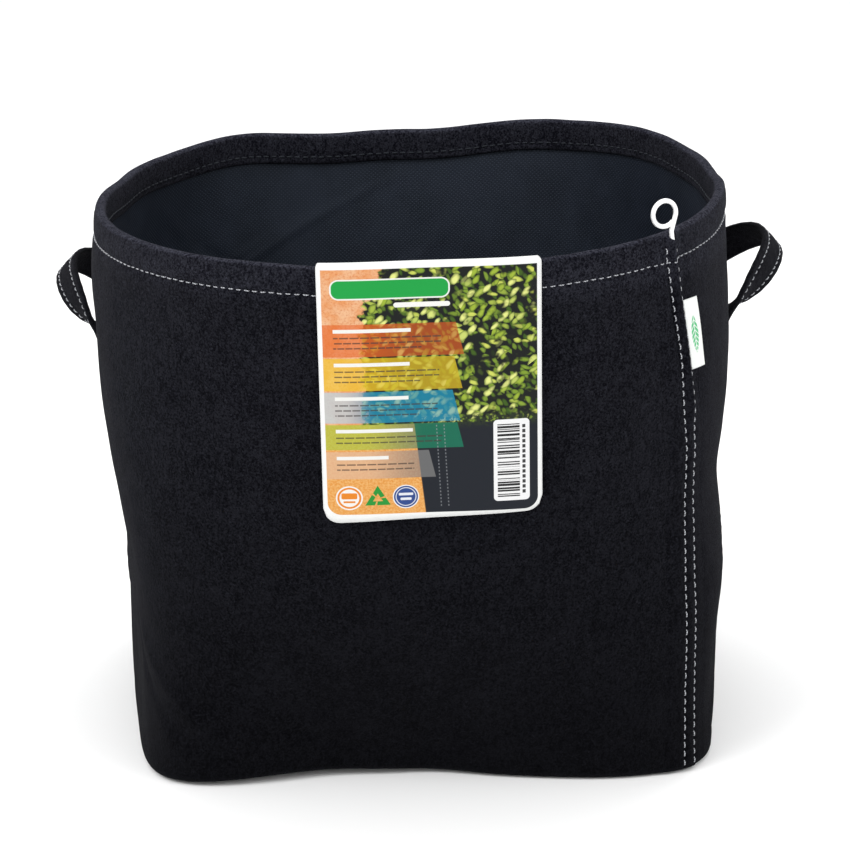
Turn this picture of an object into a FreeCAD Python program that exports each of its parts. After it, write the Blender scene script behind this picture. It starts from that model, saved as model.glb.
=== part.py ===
"""Fabric grow bag, 25 litres.

A tube of needle felt with a turned-in rim hem, a sewn-in felt base and a thin spunbond lining.
Two felt strap handles are sewn to the sides. A sleeve over the upright seam at the front right
holds a galvanised wire hook, a blank woven tag is caught in that seam, and a folded hang card
sits over the front rim.

Millimetres. The origin is the middle of the underside, +Z is up and the hang card faces -Y.
Angles are degrees around +Z from +X, so the front is at -90 and the right side at 0.
"""
import FreeCAD, Part
import math
import os

from FreeCAD import Vector

# ---- driving dimensions: the bag ---------------------------------------------------------
HEIGHT = 280.0                  # height at which the rim outline below is given
BASE_HALF_WIDTH = 159.0
BASE_HALF_DEPTH = 135.0
BASE_SQUARENESS = 5.7           # superellipse exponent: 2 is an ellipse, more is squarer
BASE_TWIST = 4.0                # degrees the base stands turned against the rim
RIM_HALF_WIDTH = 164.3
RIM_HALF_DEPTH = 177.4
RIM_SQUARENESS = 2.42
RIM_CENTRE = (-3.1, 6.2)        # middle of the mouth seen from the middle of the base

# Where the soft wall is pushed out or in: angle, height, reach in degrees, reach in mm, mm out.
WALL_SWELLS = [
    (-20.0, 215.0, 34.0, 50.0, 4.7),      # right side, below the rim
    (-160.0, 200.0, 34.0, 60.0, 4.1),     # left side, below the rim
    (-8.5, 152.0, 28.0, 18.0, -3.2),      # crease of the right side
    (-158.0, 90.0, 28.0, 52.0, -7.2),     # hollow of the left side
    (-102.0, 0.0, 46.0, 75.0, -19.0),     # foot of the front
    (-87.0, 283.0, 15.0, 110.0, -4.5),    # rim held flat by the hang card
    (-20.0, 55.0, 22.0, 40.0, -3.0),      # hollow and swell low on the right side
    (-10.0, 90.0, 22.0, 25.0, 4.0),
    (-160.0, 30.0, 20.0, 35.0, -3.0),     # low on the left side
    (-138.0, 0.0, 10.0, 40.0, 3.5),       # front left corner
    (-116.0, 0.0, 12.0, 60.0, -5.4),      # foot of the front, drawn in unevenly
    (-88.0, 0.0, 14.0, 60.0, -4.4),
    (-64.0, 0.0, 12.0, 60.0, -1.9),
    (-46.0, 0.0, 9.0, 50.0, -2.2),
    (-30.0, 5.0, 9.0, 40.0, -2.5),
    (-172.0, 250.0, 20.0, 25.0, 2.2),     # left side above the handle
]

# Rim edge above HEIGHT: height in mm, waves per turn, phase in degrees.
RIM_WAVES = [(8.4, 0, 0.0), (6.2, 1, 3.0), (2.2, 2, 23.0)]
# Short rises and dips of the rim edge: angle, mm. The two of -1.5 are pressed down by the hang card.
RIM_DIPS = [(5.0, -4.5), (25.0, -3.5), (85.0, -2.7), (105.0, -2.6), (125.0, 2.2),
            (145.0, -1.3), (165.0, -3.2), (-97.0, -1.5), (-77.0, -1.5), (30.0, 1.6),
            (48.0, 1.6), (66.0, 1.6)]
DIP_REACH = 11.0                # degrees

FELT = 2.4
LINING = 0.8
LINING_GAP = 0.2
HEM_DEPTH = 17.0
HEM_THICKNESS = 2 * FELT + 1.1            # wall, lining slot, turned-in flap
BASE_MARGIN = 11.0                        # height of the seam margins inside the bottom corner
LAYER_GAP = 0.1                           # air between sewn layers
OUTER_GAP = 0.25                          # air between the wall and what is sewn onto it
WALL_SHARES = (0.1, 0.25, 0.4, 0.5, 0.6, 0.72, 0.84, 0.92)    # rings between foot and hem
THREAD = 0.5                              # thickness of a stitch row
THREAD_GAP = 0.15                         # air between a stitch row and the cloth
THREAD_WIDTH = 0.9
RIM_STITCH_DEPTH = 13.7

# ---- driving dimensions: sleeve, hook and tag -----------------------------------------------
SEAM_TOP_ANGLE = -46.8
SEAM_LOW_ANGLE = -42.0
SEAM_FOOT_ANGLE = -40.8
SEAM_TURN_START, SEAM_TURN_END = 180.0, 291.0
SEAM_FOOT_START, SEAM_FOOT_END = 30.0, 110.0
SLEEVE_LEFT, SLEEVE_RIGHT = -6.8, 3.8     # edges of the strip across the hook's shaft
SLEEVE_GAP, SLEEVE_THICKNESS = 1.1, 4.8   # inner and outer face from the wall
SLEEVE_ROOM = 0.4                         # the rim row stops this far beside the strip
STITCH_ROWS = (-4.6, 1.8)                 # middles of the two rows across the strip
SHAFT_OUT = 2.85                          # middle of the shaft from the wall
WIRE_RADIUS = 1.15
BORE_RADIUS = 1.5
SHAFT_LENGTH = 92.0
EYE_RADIUS = 6.35                         # to the middle of the wire
EYE_FACING = 26.0                         # degrees the eye is turned towards the right
EYE_OFFSET = (-2.6, 9.6)                  # eye centre from the shaft's top, across and along
EYE_TURN = 333.0                          # degrees of the ring that are bent
SHAFT_TOP_ABOVE_RIM = 1.5
TAG_HEIGHT, TAG_WIDTH, TAG_THICKNESS = 36.0, 12.0, 0.4
TAG_DEPTH = 35.0                          # rim edge to the tag's top
TAG_OUT = 1.2                             # the tag stands this far off the wall
TAG_GAP = 0.6                             # sleeve's edge to the tag's sewn edge

# ---- driving dimensions: handles and card ----------------------------------------------------
STRAP_WIDTH, STRAP_THICKNESS = 18.0, 3.0
STRAP_ROW_OFFSET = 5.2                    # stitch rows either side of the strap's middle
HANDLES = {                               # angles of the two sewn ends, reach and rise of the loop
    "handle_right": (0.5, 29.0, 37.0, 31.0),
    "handle_left": (-181.5, -210.0, 27.5, 28.5),
}
HANDLE_DEPTH = 77.0                       # rim edge to the line the strap swings about
HANDLE_AXIS_OUT = 2.6                     # that line stands this far off the wall
END_DROP, END_HEIGHT = 7.5, 11.5          # sewn end: distance below that line, and its height
CARD_ANGLES = (-104.4, -70.0)
CARD_DROP_FRONT, CARD_DROP_BACK = 130.0, 62.0
CARD_THICKNESS = 0.5
CARD_GAP, CARD_BACK_GAP = 0.7, 1.9         # air between the hem and the card, outside and inside
CARD_LEAN = 0.085                         # the wall leans back this much under the card
CARD_TILT = 0.02                          # the card hangs a little turned in its own plane

AROUND = 48                               # points on each closed outline


# ---- shape of the wall ----------------------------------------------------------------------
def mix(start, end, share):
    return start + (end - start) * share


def angle_gap(angle, other):
    return (angle - other + 180.0) % 360.0 - 180.0


def rim_height(angle):
    waves = sum(size * math.cos(math.radians(count * angle - phase)) for size, count, phase in RIM_WAVES)
    dips = sum(size * math.exp(-(angle_gap(angle, at) / DIP_REACH) ** 2) for at, size in RIM_DIPS)
    return HEIGHT + waves + dips


def outline_radius(angle, half_width, half_depth, squareness):
    """Distance from the middle to a superellipse outline."""
    across = abs(math.cos(math.radians(angle)) / half_width) ** squareness
    along = abs(math.sin(math.radians(angle)) / half_depth) ** squareness
    return (across + along) ** (-1.0 / squareness)


def wall_point(angle, height):
    """Point on the outside of the bag. The wall runs straight from base to rim, but for its swells."""
    share = min(height / HEIGHT, 1.06)
    base = outline_radius(angle, BASE_HALF_WIDTH, BASE_HALF_DEPTH, BASE_SQUARENESS)
    rim = outline_radius(angle, RIM_HALF_WIDTH, RIM_HALF_DEPTH, RIM_SQUARENESS)
    radius = mix(base, rim, share)
    for middle, level, reach_angle, reach_height, swell in WALL_SWELLS:
        fade = (angle_gap(angle, middle) / reach_angle) ** 2 + ((height - level) / reach_height) ** 2
        radius += swell * math.exp(-fade)
    turned = math.radians(angle + mix(BASE_TWIST, 0.0, share))
    x = RIM_CENTRE[0] * share + radius * math.cos(turned)
    y = RIM_CENTRE[1] * share + radius * math.sin(turned)
    return Vector(x, y, height)


def outward(angle, height):
    """Level unit normal of the wall, pointing away from the bag."""
    step = 0.5
    along = wall_point(angle + step, height) - wall_point(angle - step, height)
    return Vector(along.y, -along.x, 0).normalize()


def inset_point(angle, height, inset):
    """Point that lies inset mm inside the outer face, or outside it when inset is negative."""
    return wall_point(angle, height) - outward(angle, height) * inset


# A level says at which height a ring runs for each angle.
def at_height(height):
    return lambda angle: height


def below_rim(depth):
    return lambda angle: rim_height(angle) - depth


def share_of_wall(share):
    return lambda angle: rim_height(angle) * share


# ---- solids from rings ------------------------------------------------------------------------
def ring(level, inset):
    """Closed smooth outline of the bag at a level, moved in by inset."""
    points = []
    for step in range(AROUND):
        angle = 360.0 * step / AROUND
        points.append(inset_point(angle, level(angle), inset))
    curve = Part.BSplineCurve()
    curve.interpolate(points, PeriodicFlag=True)
    return Part.Wire(curve.toShape())


def sewn_solid(faces):
    shell = Part.makeShell(faces)
    shell.sewShape()
    shell = shell.Shells[0]
    solid = Part.makeSolid(shell)
    if solid.Volume < 0:
        solid.reverse()
    return solid


def ring_solid(spans):
    """Solid between rings. Each span is a list of (level, inset), lofted smoothly through its
    rings; the last ring of a span is the first of the next, and the last span ends on the
    first ring."""
    faces = []
    made = {}

    def wire(entry):
        key = (id(entry[0]), entry[1])
        if key not in made:
            made[key] = ring(*entry)
        return made[key]

    for span in spans:
        loft = Part.makeLoft([wire(entry) for entry in span], False, len(span) == 2)
        faces += loft.Faces
    return sewn_solid(faces)


def level_band(level_low, level_high, inset_near, inset_far):
    """Band all round the bag between two levels and two insets."""
    low_near, high_near = (level_low, inset_near), (level_high, inset_near)
    low_far, high_far = (level_low, inset_far), (level_high, inset_far)
    return ring_solid([[low_near, high_near], [high_near, high_far], [high_far, low_far], [low_far, low_near]])


def make_outer_wall():
    bottom, fold_top = at_height(0.0), at_height(4.0)
    margin_top = at_height(BASE_MARGIN)
    inner_start = at_height(BASE_MARGIN + 0.8)
    crest, shoulder = below_rim(0.0), below_rim(2.2)
    hem_end, slot_top = below_rim(HEM_DEPTH), below_rim(4.5)
    half = HEM_THICKNESS / 2
    slot_inset = FELT + 1.1
    margin_inset = 2 * FELT + LAYER_GAP
    outside = [(fold_top, 0.4)] + [(share_of_wall(part), 0.0) for part in WALL_SHARES] + [(shoulder, 0.0)]
    inside = [(hem_end, FELT)] + [(share_of_wall(part), FELT) for part in reversed(WALL_SHARES)]
    foot = inside[-1]
    spans = [
        [(bottom, 3.2), (fold_top, 0.4)],
        outside,
        [outside[-1], (crest, half * 0.55)],
        [(crest, half * 0.55), (crest, half * 1.45)],
        [(crest, half * 1.45), (shoulder, HEM_THICKNESS)],
        [(shoulder, HEM_THICKNESS), (hem_end, HEM_THICKNESS)],
        [(hem_end, HEM_THICKNESS), (hem_end, slot_inset)],
        [(hem_end, slot_inset), (slot_top, slot_inset)],
        [(slot_top, slot_inset), (slot_top, FELT)],
        [(slot_top, FELT), (hem_end, FELT)],
        inside,
        [foot, (inner_start, FELT)],
        [(inner_start, FELT), (margin_top, margin_inset)],
        [(margin_top, margin_inset), (fold_top, margin_inset)],
        [(fold_top, margin_inset), (bottom, margin_inset)],
        [(bottom, margin_inset), (bottom, 3.2)],
    ]
    return ring_solid(spans)


def make_inner_lining():
    near, far = FELT + LINING_GAP, FELT + LINING_GAP + LINING
    low_near = 3 * FELT + 0.6
    low_far = low_near + LINING
    foot, step_low = at_height(FELT + LINING + 0.4), at_height(13.0)
    hem_end, top = below_rim(HEM_DEPTH), below_rim(5.5)
    levels = [share_of_wall(part) for part in WALL_SHARES]
    outer = [(level, near) for level in levels] + [(hem_end, near)]
    inner = [(hem_end, far)] + [(level, far) for level in reversed(levels)]
    spans = [
        [(foot, low_near), (step_low, low_near)],
        [(step_low, low_near), outer[0]],
        outer,
        [outer[-1], (top, near)],
        [(top, near), (top, far)],
        [(top, far), inner[0]],
        inner,
        [inner[-1], (step_low, low_far)],
        [(step_low, low_far), (foot, low_far)],
        [(foot, low_far), (foot, low_near)],
    ]
    return ring_solid(spans)


def make_base_panel():
    """Flat felt disc that the bag stands on."""
    inset = 2 * FELT + 2 * LAYER_GAP + 0.1
    return Part.Face(ring(at_height(0.0), inset)).extrude(Vector(0, 0, FELT))


def make_base_margin():
    """The disc's seam margin, turned up inside the wall's own margin."""
    near = 2 * FELT + 2 * LAYER_GAP + 0.1
    low, top = at_height(FELT + LAYER_GAP), at_height(BASE_MARGIN)
    return level_band(low, top, near, near + FELT)


def make_base_lining():
    inset = 3 * FELT + 0.5
    outline = ring(at_height(FELT + LAYER_GAP), inset)
    return Part.Face(outline).extrude(Vector(0, 0, LINING * 0.5))


def make_base_seam_stitching():
    """Thread row that joins wall margin and base margin, on the inside of the corner."""
    near = 3 * FELT + 2 * LAYER_GAP + 0.12
    return level_band(at_height(6.0), at_height(6.0 + THREAD_WIDTH), near, near + 0.2)


def make_rim_stitching():
    high, low = below_rim(RIM_STITCH_DEPTH), below_rim(RIM_STITCH_DEPTH + THREAD_WIDTH)
    return level_band(low, high, -THREAD_GAP, -THREAD_GAP - THREAD)


def make_rim_bobbin_thread():
    high, low = below_rim(RIM_STITCH_DEPTH), below_rim(RIM_STITCH_DEPTH + THREAD_WIDTH)
    return level_band(low, high, HEM_THICKNESS + THREAD_GAP, HEM_THICKNESS + THREAD_GAP + THREAD * 0.6)


# ---- pieces that lie on the wall --------------------------------------------------------------
def seam_angle(height):
    foot = (height - SEAM_FOOT_START) / (SEAM_FOOT_END - SEAM_FOOT_START)
    low_angle = mix(SEAM_FOOT_ANGLE, SEAM_LOW_ANGLE, min(max(foot, 0.0), 1.0))
    turn = (height - SEAM_TURN_START) / (SEAM_TURN_END - SEAM_TURN_START)
    return mix(low_angle, SEAM_TOP_ANGLE, min(max(turn, 0.0), 1.0))


def wall_slice(angle, height, left, right, near, far):
    """Level closed outline of a strip on the wall: left and right are mm along the wall from
    angle, near and far are mm outside the outer face."""
    mm_per_degree = (wall_point(angle + 1, height) - wall_point(angle - 1, height)).Length / 2
    angles = [angle + mix(left, right, share / 4.0) / mm_per_degree for share in range(5)]
    inner = [inset_point(value, height, -near) for value in angles]
    outer = [inset_point(value, height, -far) for value in reversed(angles)]
    edges = []
    for points, next_point in ((inner, outer[0]), (outer, inner[0])):
        curve = Part.BSplineCurve()
        curve.interpolate(points)
        edges.append(curve.toShape())
        edges.append(Part.makeLine(points[-1], next_point))
    return Part.Wire(edges)


def strip_on_wall(angle_at, heights, left, right, near, far):
    """Solid strip that runs up the wall through the given heights."""
    slices = [wall_slice(angle_at(height), height, left, right, near, far) for height in heights]
    return Part.makeLoft(slices, True, len(slices) == 2)


def spread(start, end, count):
    return [mix(start, end, step / (count - 1.0)) for step in range(count)]


def seam_heights(depth_from_rim=2.5):
    return spread(5.0, rim_height(SEAM_TOP_ANGLE) - depth_from_rim, 13)


def shaft_frame():
    """Top end of the hook's shaft, the direction up the shaft and the direction across the eye."""
    top_height = rim_height(SEAM_TOP_ANGLE)
    low_height = top_height - SHAFT_LENGTH
    top = inset_point(seam_angle(top_height), top_height, -SHAFT_OUT)
    low = inset_point(seam_angle(low_height), low_height, -SHAFT_OUT)
    up = (top - low).normalize()
    turned = math.radians(EYE_FACING)
    facing = Vector(math.sin(turned), -math.cos(turned), 0)
    facing = facing - up * facing.dot(up)
    across = up.cross(facing.normalize())
    return top + up * SHAFT_TOP_ABOVE_RIM, up, across


def shaft_bore():
    top, up, _ = shaft_frame()
    length = SHAFT_LENGTH + 6.0
    return Part.makeCylinder(BORE_RADIUS, length, top - up * length + up * 4.0, up)


def make_seam_sleeve():
    strip = strip_on_wall(seam_angle, seam_heights(), SLEEVE_LEFT, SLEEVE_RIGHT, SLEEVE_GAP, SLEEVE_THICKNESS)
    return strip.cut(shaft_bore())


def make_seam_stitching(middle):
    left, right = middle - THREAD_WIDTH / 2, middle + THREAD_WIDTH / 2
    near = SLEEVE_THICKNESS + THREAD_GAP
    return strip_on_wall(seam_angle, seam_heights(4.0), left, right, near, near + THREAD * 0.8)


def make_hook_wire():
    """Round wire: straight shaft, a small crank, and an eye bent from the same wire."""
    top, up, across = shaft_frame()

    def place(right, high):
        return top + across * right + up * high

    centre_x, centre_y = EYE_OFFSET
    reach = math.hypot(centre_x, centre_y)
    to_shaft = math.atan2(-centre_y, -centre_x)
    leave = to_shaft + math.acos(EYE_RADIUS / reach)          # where the tail touches the eye
    touch_x = centre_x + EYE_RADIUS * math.cos(leave)
    touch_y = centre_y + EYE_RADIUS * math.sin(leave)
    tail = math.hypot(touch_x, touch_y)
    bend = 1.4                                                # straight length the crank takes up
    before, after = place(0, -bend), place(touch_x * bend / tail, touch_y * bend / tail)
    sag = bend * 0.11
    crank_middle = place(touch_x / tail * sag, -sag)
    turn = math.radians(EYE_TURN)
    eye_points = [leave + turn * share for share in (0.0, 0.25, 0.5, 0.75, 1.0)]
    eye = [place(centre_x + EYE_RADIUS * math.cos(value), centre_y + EYE_RADIUS * math.sin(value))
           for value in eye_points]
    edges = [
        Part.makeLine(place(0, -SHAFT_LENGTH), before),
        Part.Arc(before, crank_middle, after).toShape(),
        Part.makeLine(after, eye[0]),
        Part.Arc(eye[0], eye[1], eye[2]).toShape(),
        Part.Arc(eye[2], eye[3], eye[4]).toShape(),
    ]
    section = Part.Wire(Part.makeCircle(WIRE_RADIUS, place(0, -SHAFT_LENGTH), up))
    return Part.Wire(edges).makePipeShell([section], True, False)


def tag_middle_height():
    return rim_height(SEAM_TOP_ANGLE) - TAG_DEPTH - TAG_HEIGHT / 2


def make_woven_tag():
    """Blank tag that stands out from under the sleeve's right edge and lies on the wall."""
    middle = tag_middle_height()
    heights = spread(middle - TAG_HEIGHT / 2, middle + TAG_HEIGHT / 2, 3)
    left = SLEEVE_RIGHT + TAG_GAP
    far = TAG_OUT + TAG_THICKNESS
    return strip_on_wall(seam_angle, heights, left, left + TAG_WIDTH, TAG_OUT, far)


def tag_hinge():
    """Point on the tag's sewn edge and the direction up that edge."""
    middle = tag_middle_height()
    ends = []
    for height in (middle - TAG_HEIGHT / 2, middle + TAG_HEIGHT / 2):
        angle = seam_angle(height)
        mm_per_degree = (wall_point(angle + 1, height) - wall_point(angle - 1, height)).Length / 2
        edge_angle = angle + (SLEEVE_RIGHT + TAG_GAP) / mm_per_degree
        ends.append(inset_point(edge_angle, height, -TAG_OUT - TAG_THICKNESS / 2))
    return (ends[0] + ends[1]) * 0.5, (ends[1] - ends[0]).normalize()


# ---- handles -------------------------------------------------------------------------------------
def handle_frame(node):
    """Middle of the swing line, and unit vectors out from the bag, along the line and up."""
    near_angle, far_angle, _, _ = HANDLES[node]
    ends = []
    for angle in (near_angle, far_angle):
        height = rim_height(angle) - HANDLE_DEPTH
        ends.append(inset_point(angle, height, -HANDLE_AXIS_OUT))
    along = (ends[1] - ends[0]).normalize()
    side = 1 if ends[0].x > 0 else -1
    out = Vector(side, 0, 0) - along * (along.x * side)
    out.normalize()
    up = Vector(0, 0, 1) - along * along.z
    up.normalize()
    return (ends[0] + ends[1]) * 0.5, out, along, up, (ends[1] - ends[0]).Length / 2


def handle_station(node, turn):
    """Middle of the strap, its outer face's normal and its width direction, at turn degrees
    from the near end (0) over the top of the loop (90) to the far end (180)."""
    middle, out, along, up, half = handle_frame(node)
    _, _, reach, rise = HANDLES[node]
    sine, cosine = math.sin(math.radians(turn)), math.cos(math.radians(turn))
    position = middle + out * (reach * sine) - along * (half * cosine) + up * (rise * sine)
    heading = out * (reach * cosine) + along * (half * sine) + up * (rise * cosine)
    heading.normalize()
    lift = mix(-0.35, 0.75, sine)
    facing = out * 0.8 + up * lift - along * (cosine * 0.9 * sine)
    facing = facing - heading * facing.dot(heading)
    facing.normalize()
    return position, facing, heading.cross(facing)


def strap_section(node, turn, low, high, near, far):
    """Rectangle across the strap: low and high along its width, near and far along its normal."""
    position, facing, width = handle_station(node, turn)
    corners = [(low, near), (high, near), (high, far), (low, far)]
    points = [position + width * across + facing * through for across, through in corners]
    return Part.makePolygon(points + points[:1])


def strap_solid(node, low, high, near, far, clear=3.0):
    turns = spread(clear, 180.0 - clear, 17)
    return Part.makeLoft([strap_section(node, turn, low, high, near, far) for turn in turns], True, False)


def make_handle(node):
    half_width, half_thickness = STRAP_WIDTH / 2, STRAP_THICKNESS / 2
    return strap_solid(node, -half_width, half_width, -half_thickness, half_thickness)


def make_handle_stitching(node):
    rows = []
    near = STRAP_THICKNESS / 2 + THREAD_GAP
    for side in (-1, 1):
        low = side * STRAP_ROW_OFFSET - THREAD_WIDTH / 2
        rows.append(strap_solid(node, low, low + THREAD_WIDTH, near, near + THREAD * 0.8, clear=8.0))
    return Part.makeCompound(rows)


def on_handle_ends(node, low, high, left, right, near, far):
    """One strip on each sewn end: low and high are mm below the swing line."""
    strips = []
    for angle in HANDLES[node][:2]:
        line_height = rim_height(angle) - HANDLE_DEPTH
        heights = spread(line_height - low, line_height - high, 2)
        strips.append(strip_on_wall(lambda height, fixed=angle: fixed, heights, left, right, near, far))
    return Part.makeCompound(strips)


def make_handle_ends(node):
    half = STRAP_WIDTH / 2
    return on_handle_ends(node, END_DROP + END_HEIGHT, END_DROP, -half, half, OUTER_GAP, OUTER_GAP + FELT)


def make_handle_tacks(node):
    half = STRAP_WIDTH / 2 - 1.5
    near = OUTER_GAP + FELT + THREAD_GAP
    bars = []
    for drop in (END_DROP + 2.5, END_DROP + END_HEIGHT - 2.5):
        bars += on_handle_ends(node, drop + THREAD_WIDTH, drop, -half, half, near, near + THREAD * 0.8).Solids
    return Part.makeCompound(bars)


# ---- hang card --------------------------------------------------------------------------------------
def card_axis():
    """Direction in which the card lifts off: up, leaning out with the wall."""
    return Vector(-CARD_TILT, -CARD_LEAN, 1).normalize()


def make_hang_card():
    """Card folded over the rim: a long front panel, a bridge on top and a short back panel."""
    axis = card_axis()
    left_rim, right_rim = (rim_height(angle) for angle in CARD_ANGLES)
    angles = spread(*CARD_ANGLES, 9)
    straight = [mix(left_rim, right_rim, index / 8.0) for index in range(9)]
    clear = max(rim_height(angle) - level for angle, level in zip(angles, straight)) + 0.5
    sections = []
    for angle, level in zip(angles, straight):
        crest = level + clear
        normal = outward(angle, HEIGHT)
        start = wall_point(angle, HEIGHT)
        start = start + axis * ((crest - start.z) / axis.z)
        front, back = CARD_GAP, -HEM_THICKNESS - CARD_BACK_GAP
        outer_front, outer_back = front + CARD_THICKNESS, back - CARD_THICKNESS
        outline = [
            (outer_front, -CARD_DROP_FRONT), (outer_front, CARD_THICKNESS),
            (outer_back, CARD_THICKNESS), (outer_back, -CARD_DROP_BACK),
            (back, -CARD_DROP_BACK), (back, 0.0), (front, 0.0), (front, -CARD_DROP_FRONT),
        ]
        points = [start + normal * off + axis * rise for off, rise in outline]
        sections.append(Part.makePolygon(points + points[:1]))
    return Part.makeLoft(sections, True, False)


# ---- all nodes -----------------------------------------------------------------------------------------
def build_nodes():
    sleeve = make_seam_sleeve()
    left, right = SLEEVE_LEFT - SLEEVE_ROOM, SLEEVE_RIGHT + SLEEVE_ROOM
    room = strip_on_wall(seam_angle, seam_heights(), left, right, 0.0, SLEEVE_THICKNESS)
    nodes = {
        "seam_sleeve": sleeve,
        "rim_stitching": make_rim_stitching().cut(room),
        "outer_wall": make_outer_wall().cut(shaft_bore()),
        "inner_lining": make_inner_lining(),
        "base_panel": make_base_panel(),
        "base_margin": make_base_margin(),
        "base_lining": make_base_lining(),
        "base_seam_stitching": make_base_seam_stitching(),
        "rim_bobbin_thread": make_rim_bobbin_thread(),
        "seam_stitching_left": make_seam_stitching(STITCH_ROWS[0]),
        "seam_stitching_right": make_seam_stitching(STITCH_ROWS[1]),
        "hook_wire": make_hook_wire(),
        "woven_tag": make_woven_tag(),
        "hang_card": make_hang_card(),
    }
    for node in HANDLES:
        nodes[node] = make_handle(node)
        nodes[node + "_stitching"] = make_handle_stitching(node)
        nodes[node + "_ends"] = make_handle_ends(node)
        nodes[node + "_tacks"] = make_handle_tacks(node)
    return nodes


def report_frame(name, position, axis):
    print("frame", name, "pos", [round(v, 3) for v in position], "axis", [round(v, 6) for v in axis])


def main():
    os.makedirs("parts", exist_ok=True)
    for name, shape in build_nodes().items():
        shape.exportStep("parts/" + name + ".step")
        print(name, "valid" if shape.isValid() else "NOT VALID", len(shape.Solids), round(shape.Volume))
    for node in HANDLES:
        side = node.split("_")[1]
        middle, out, along, up, half = handle_frame(node)
        report_frame(side + "_loop", middle, along)
        report_frame(side + "_grip", handle_station(node, 90.0)[0], out)
    top, up, across = shaft_frame()
    report_frame("hook", top, up)
    eye = top + across * EYE_OFFSET[0] + up * EYE_OFFSET[1]
    report_frame("eye", eye, across.cross(up))
    report_frame("tag", *tag_hinge())
    report_frame("card", wall_point(sum(CARD_ANGLES) / 2, HEIGHT), card_axis())


main()
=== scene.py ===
"""Fabric grow bag, 25 litres: the visual model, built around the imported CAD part."""
import bpy
import math
import numpy as np
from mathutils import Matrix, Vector


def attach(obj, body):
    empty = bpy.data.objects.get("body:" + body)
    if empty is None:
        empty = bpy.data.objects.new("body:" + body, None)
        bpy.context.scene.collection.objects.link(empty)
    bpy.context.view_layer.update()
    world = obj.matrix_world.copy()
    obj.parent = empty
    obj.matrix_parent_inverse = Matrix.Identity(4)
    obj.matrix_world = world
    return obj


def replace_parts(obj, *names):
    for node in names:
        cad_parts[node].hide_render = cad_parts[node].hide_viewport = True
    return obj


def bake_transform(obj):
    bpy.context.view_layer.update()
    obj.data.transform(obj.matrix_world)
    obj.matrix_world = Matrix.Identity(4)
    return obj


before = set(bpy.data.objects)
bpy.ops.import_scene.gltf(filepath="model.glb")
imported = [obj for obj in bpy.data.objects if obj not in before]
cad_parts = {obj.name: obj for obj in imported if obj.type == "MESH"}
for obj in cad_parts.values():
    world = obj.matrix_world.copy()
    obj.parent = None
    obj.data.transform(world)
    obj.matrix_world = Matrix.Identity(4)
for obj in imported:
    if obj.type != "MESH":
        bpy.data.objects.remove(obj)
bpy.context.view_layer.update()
MM = 0.001
rng = np.random.RandomState(25)

# ---- shape of the bag, in mm and degrees ----
HEIGHT = 280.0
BASE = (159.0, 135.0, 5.7)          # half width, half depth, squareness
RIM = (164.3, 177.4, 2.42)
BASE_TWIST = 4.0
RIM_CENTRE = (-3.1, 6.2)
SWELLS = [                          # angle, height, reach in degrees, reach in mm, mm out
    (-20.0, 215.0, 34.0, 50.0, 4.7), (-160.0, 200.0, 34.0, 60.0, 4.1), (-8.5, 152.0, 28.0, 18.0, -3.2),
    (-158.0, 90.0, 28.0, 52.0, -7.2), (-102.0, 0.0, 46.0, 75.0, -19.0), (-87.0, 283.0, 15.0, 110.0, -4.5),
    (-20.0, 55.0, 22.0, 40.0, -3.0), (-10.0, 90.0, 22.0, 25.0, 4.0), (-160.0, 30.0, 20.0, 35.0, -3.0),
    (-138.0, 0.0, 10.0, 40.0, 3.5), (-116.0, 0.0, 12.0, 60.0, -5.4), (-88.0, 0.0, 14.0, 60.0, -4.4),
    (-64.0, 0.0, 12.0, 60.0, -1.9), (-46.0, 0.0, 9.0, 50.0, -2.2), (-30.0, 5.0, 9.0, 40.0, -2.5),
    (-172.0, 250.0, 20.0, 25.0, 2.2),
]
# The rim's height: mm, waves around, phase; then single dips: angle, mm.
RIM_WAVES = [(8.4, 0, 0.0), (6.2, 1, 3.0), (2.2, 2, 23.0)]
RIM_DIPS = [(5.0, -4.5), (25.0, -3.5), (85.0, -2.7), (105.0, -2.6), (125.0, 2.2), (145.0, -1.3),
            (165.0, -3.2), (-97.0, -1.5), (-77.0, -1.5), (30.0, 1.6), (48.0, 1.6), (66.0, 1.6)]
DIP_REACH = 11.0
FELT = 2.4
HEM_DEPTH, HEM_THICKNESS = 17.0, 5.9
RIM_STITCH_DEPTH = 13.7
SEAM_TOP_ANGLE, SEAM_LOW_ANGLE, SEAM_FOOT_ANGLE = -46.8, -42.0, -40.8
SEAM_TURN, SEAM_FOOT_TURN = (180.0, 291.0), (30.0, 110.0)
TAG_HEIGHT, TAG_WIDTH, TAG_DEPTH = 36.0, 12.0, 35.0
STRAP_WIDTH, STRAP_THICKNESS = 18.0, 3.0
# Handles: angle of one end, angle of the other, reach outwards, rise.
HANDLES = {"right": (0.5, 29.0, 37.0, 31.0), "left": (-181.5, -210.0, 27.5, 28.5)}
HANDLE_DEPTH, HANDLE_AXIS_OUT = 77.0, 2.6
CARD_ANGLES = (-104.4, -70.0)
CARD_DROP_FRONT, CARD_DROP_BACK, CARD_LEAN, CARD_TILT = 130.0, 62.0, 0.085, 0.02
CARD_GAP, CARD_BACK_GAP = 0.7, 1.9
CARD_WIDTH = 103.0                  # the printed sheet's width; the print is laid out on it
INK = 0.74                          # how light the print is against its own colours
LAP_LEFT = -16.5                    # left edge of the seam's lap, mm from the shaft's line
LAP_ROWS = (-4.6, 1.8)
STRAP_ROW = 5.2                     # stitch rows of the strap, mm from its middle
FOOT_START = 28.0                   # height at which the inner skins leave the hem or the floor


def smooth(value, low, high):
    share = np.clip((np.asarray(value, float) - low) / (high - low), 0.0, 1.0)
    return share * share * (3.0 - 2.0 * share)


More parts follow.
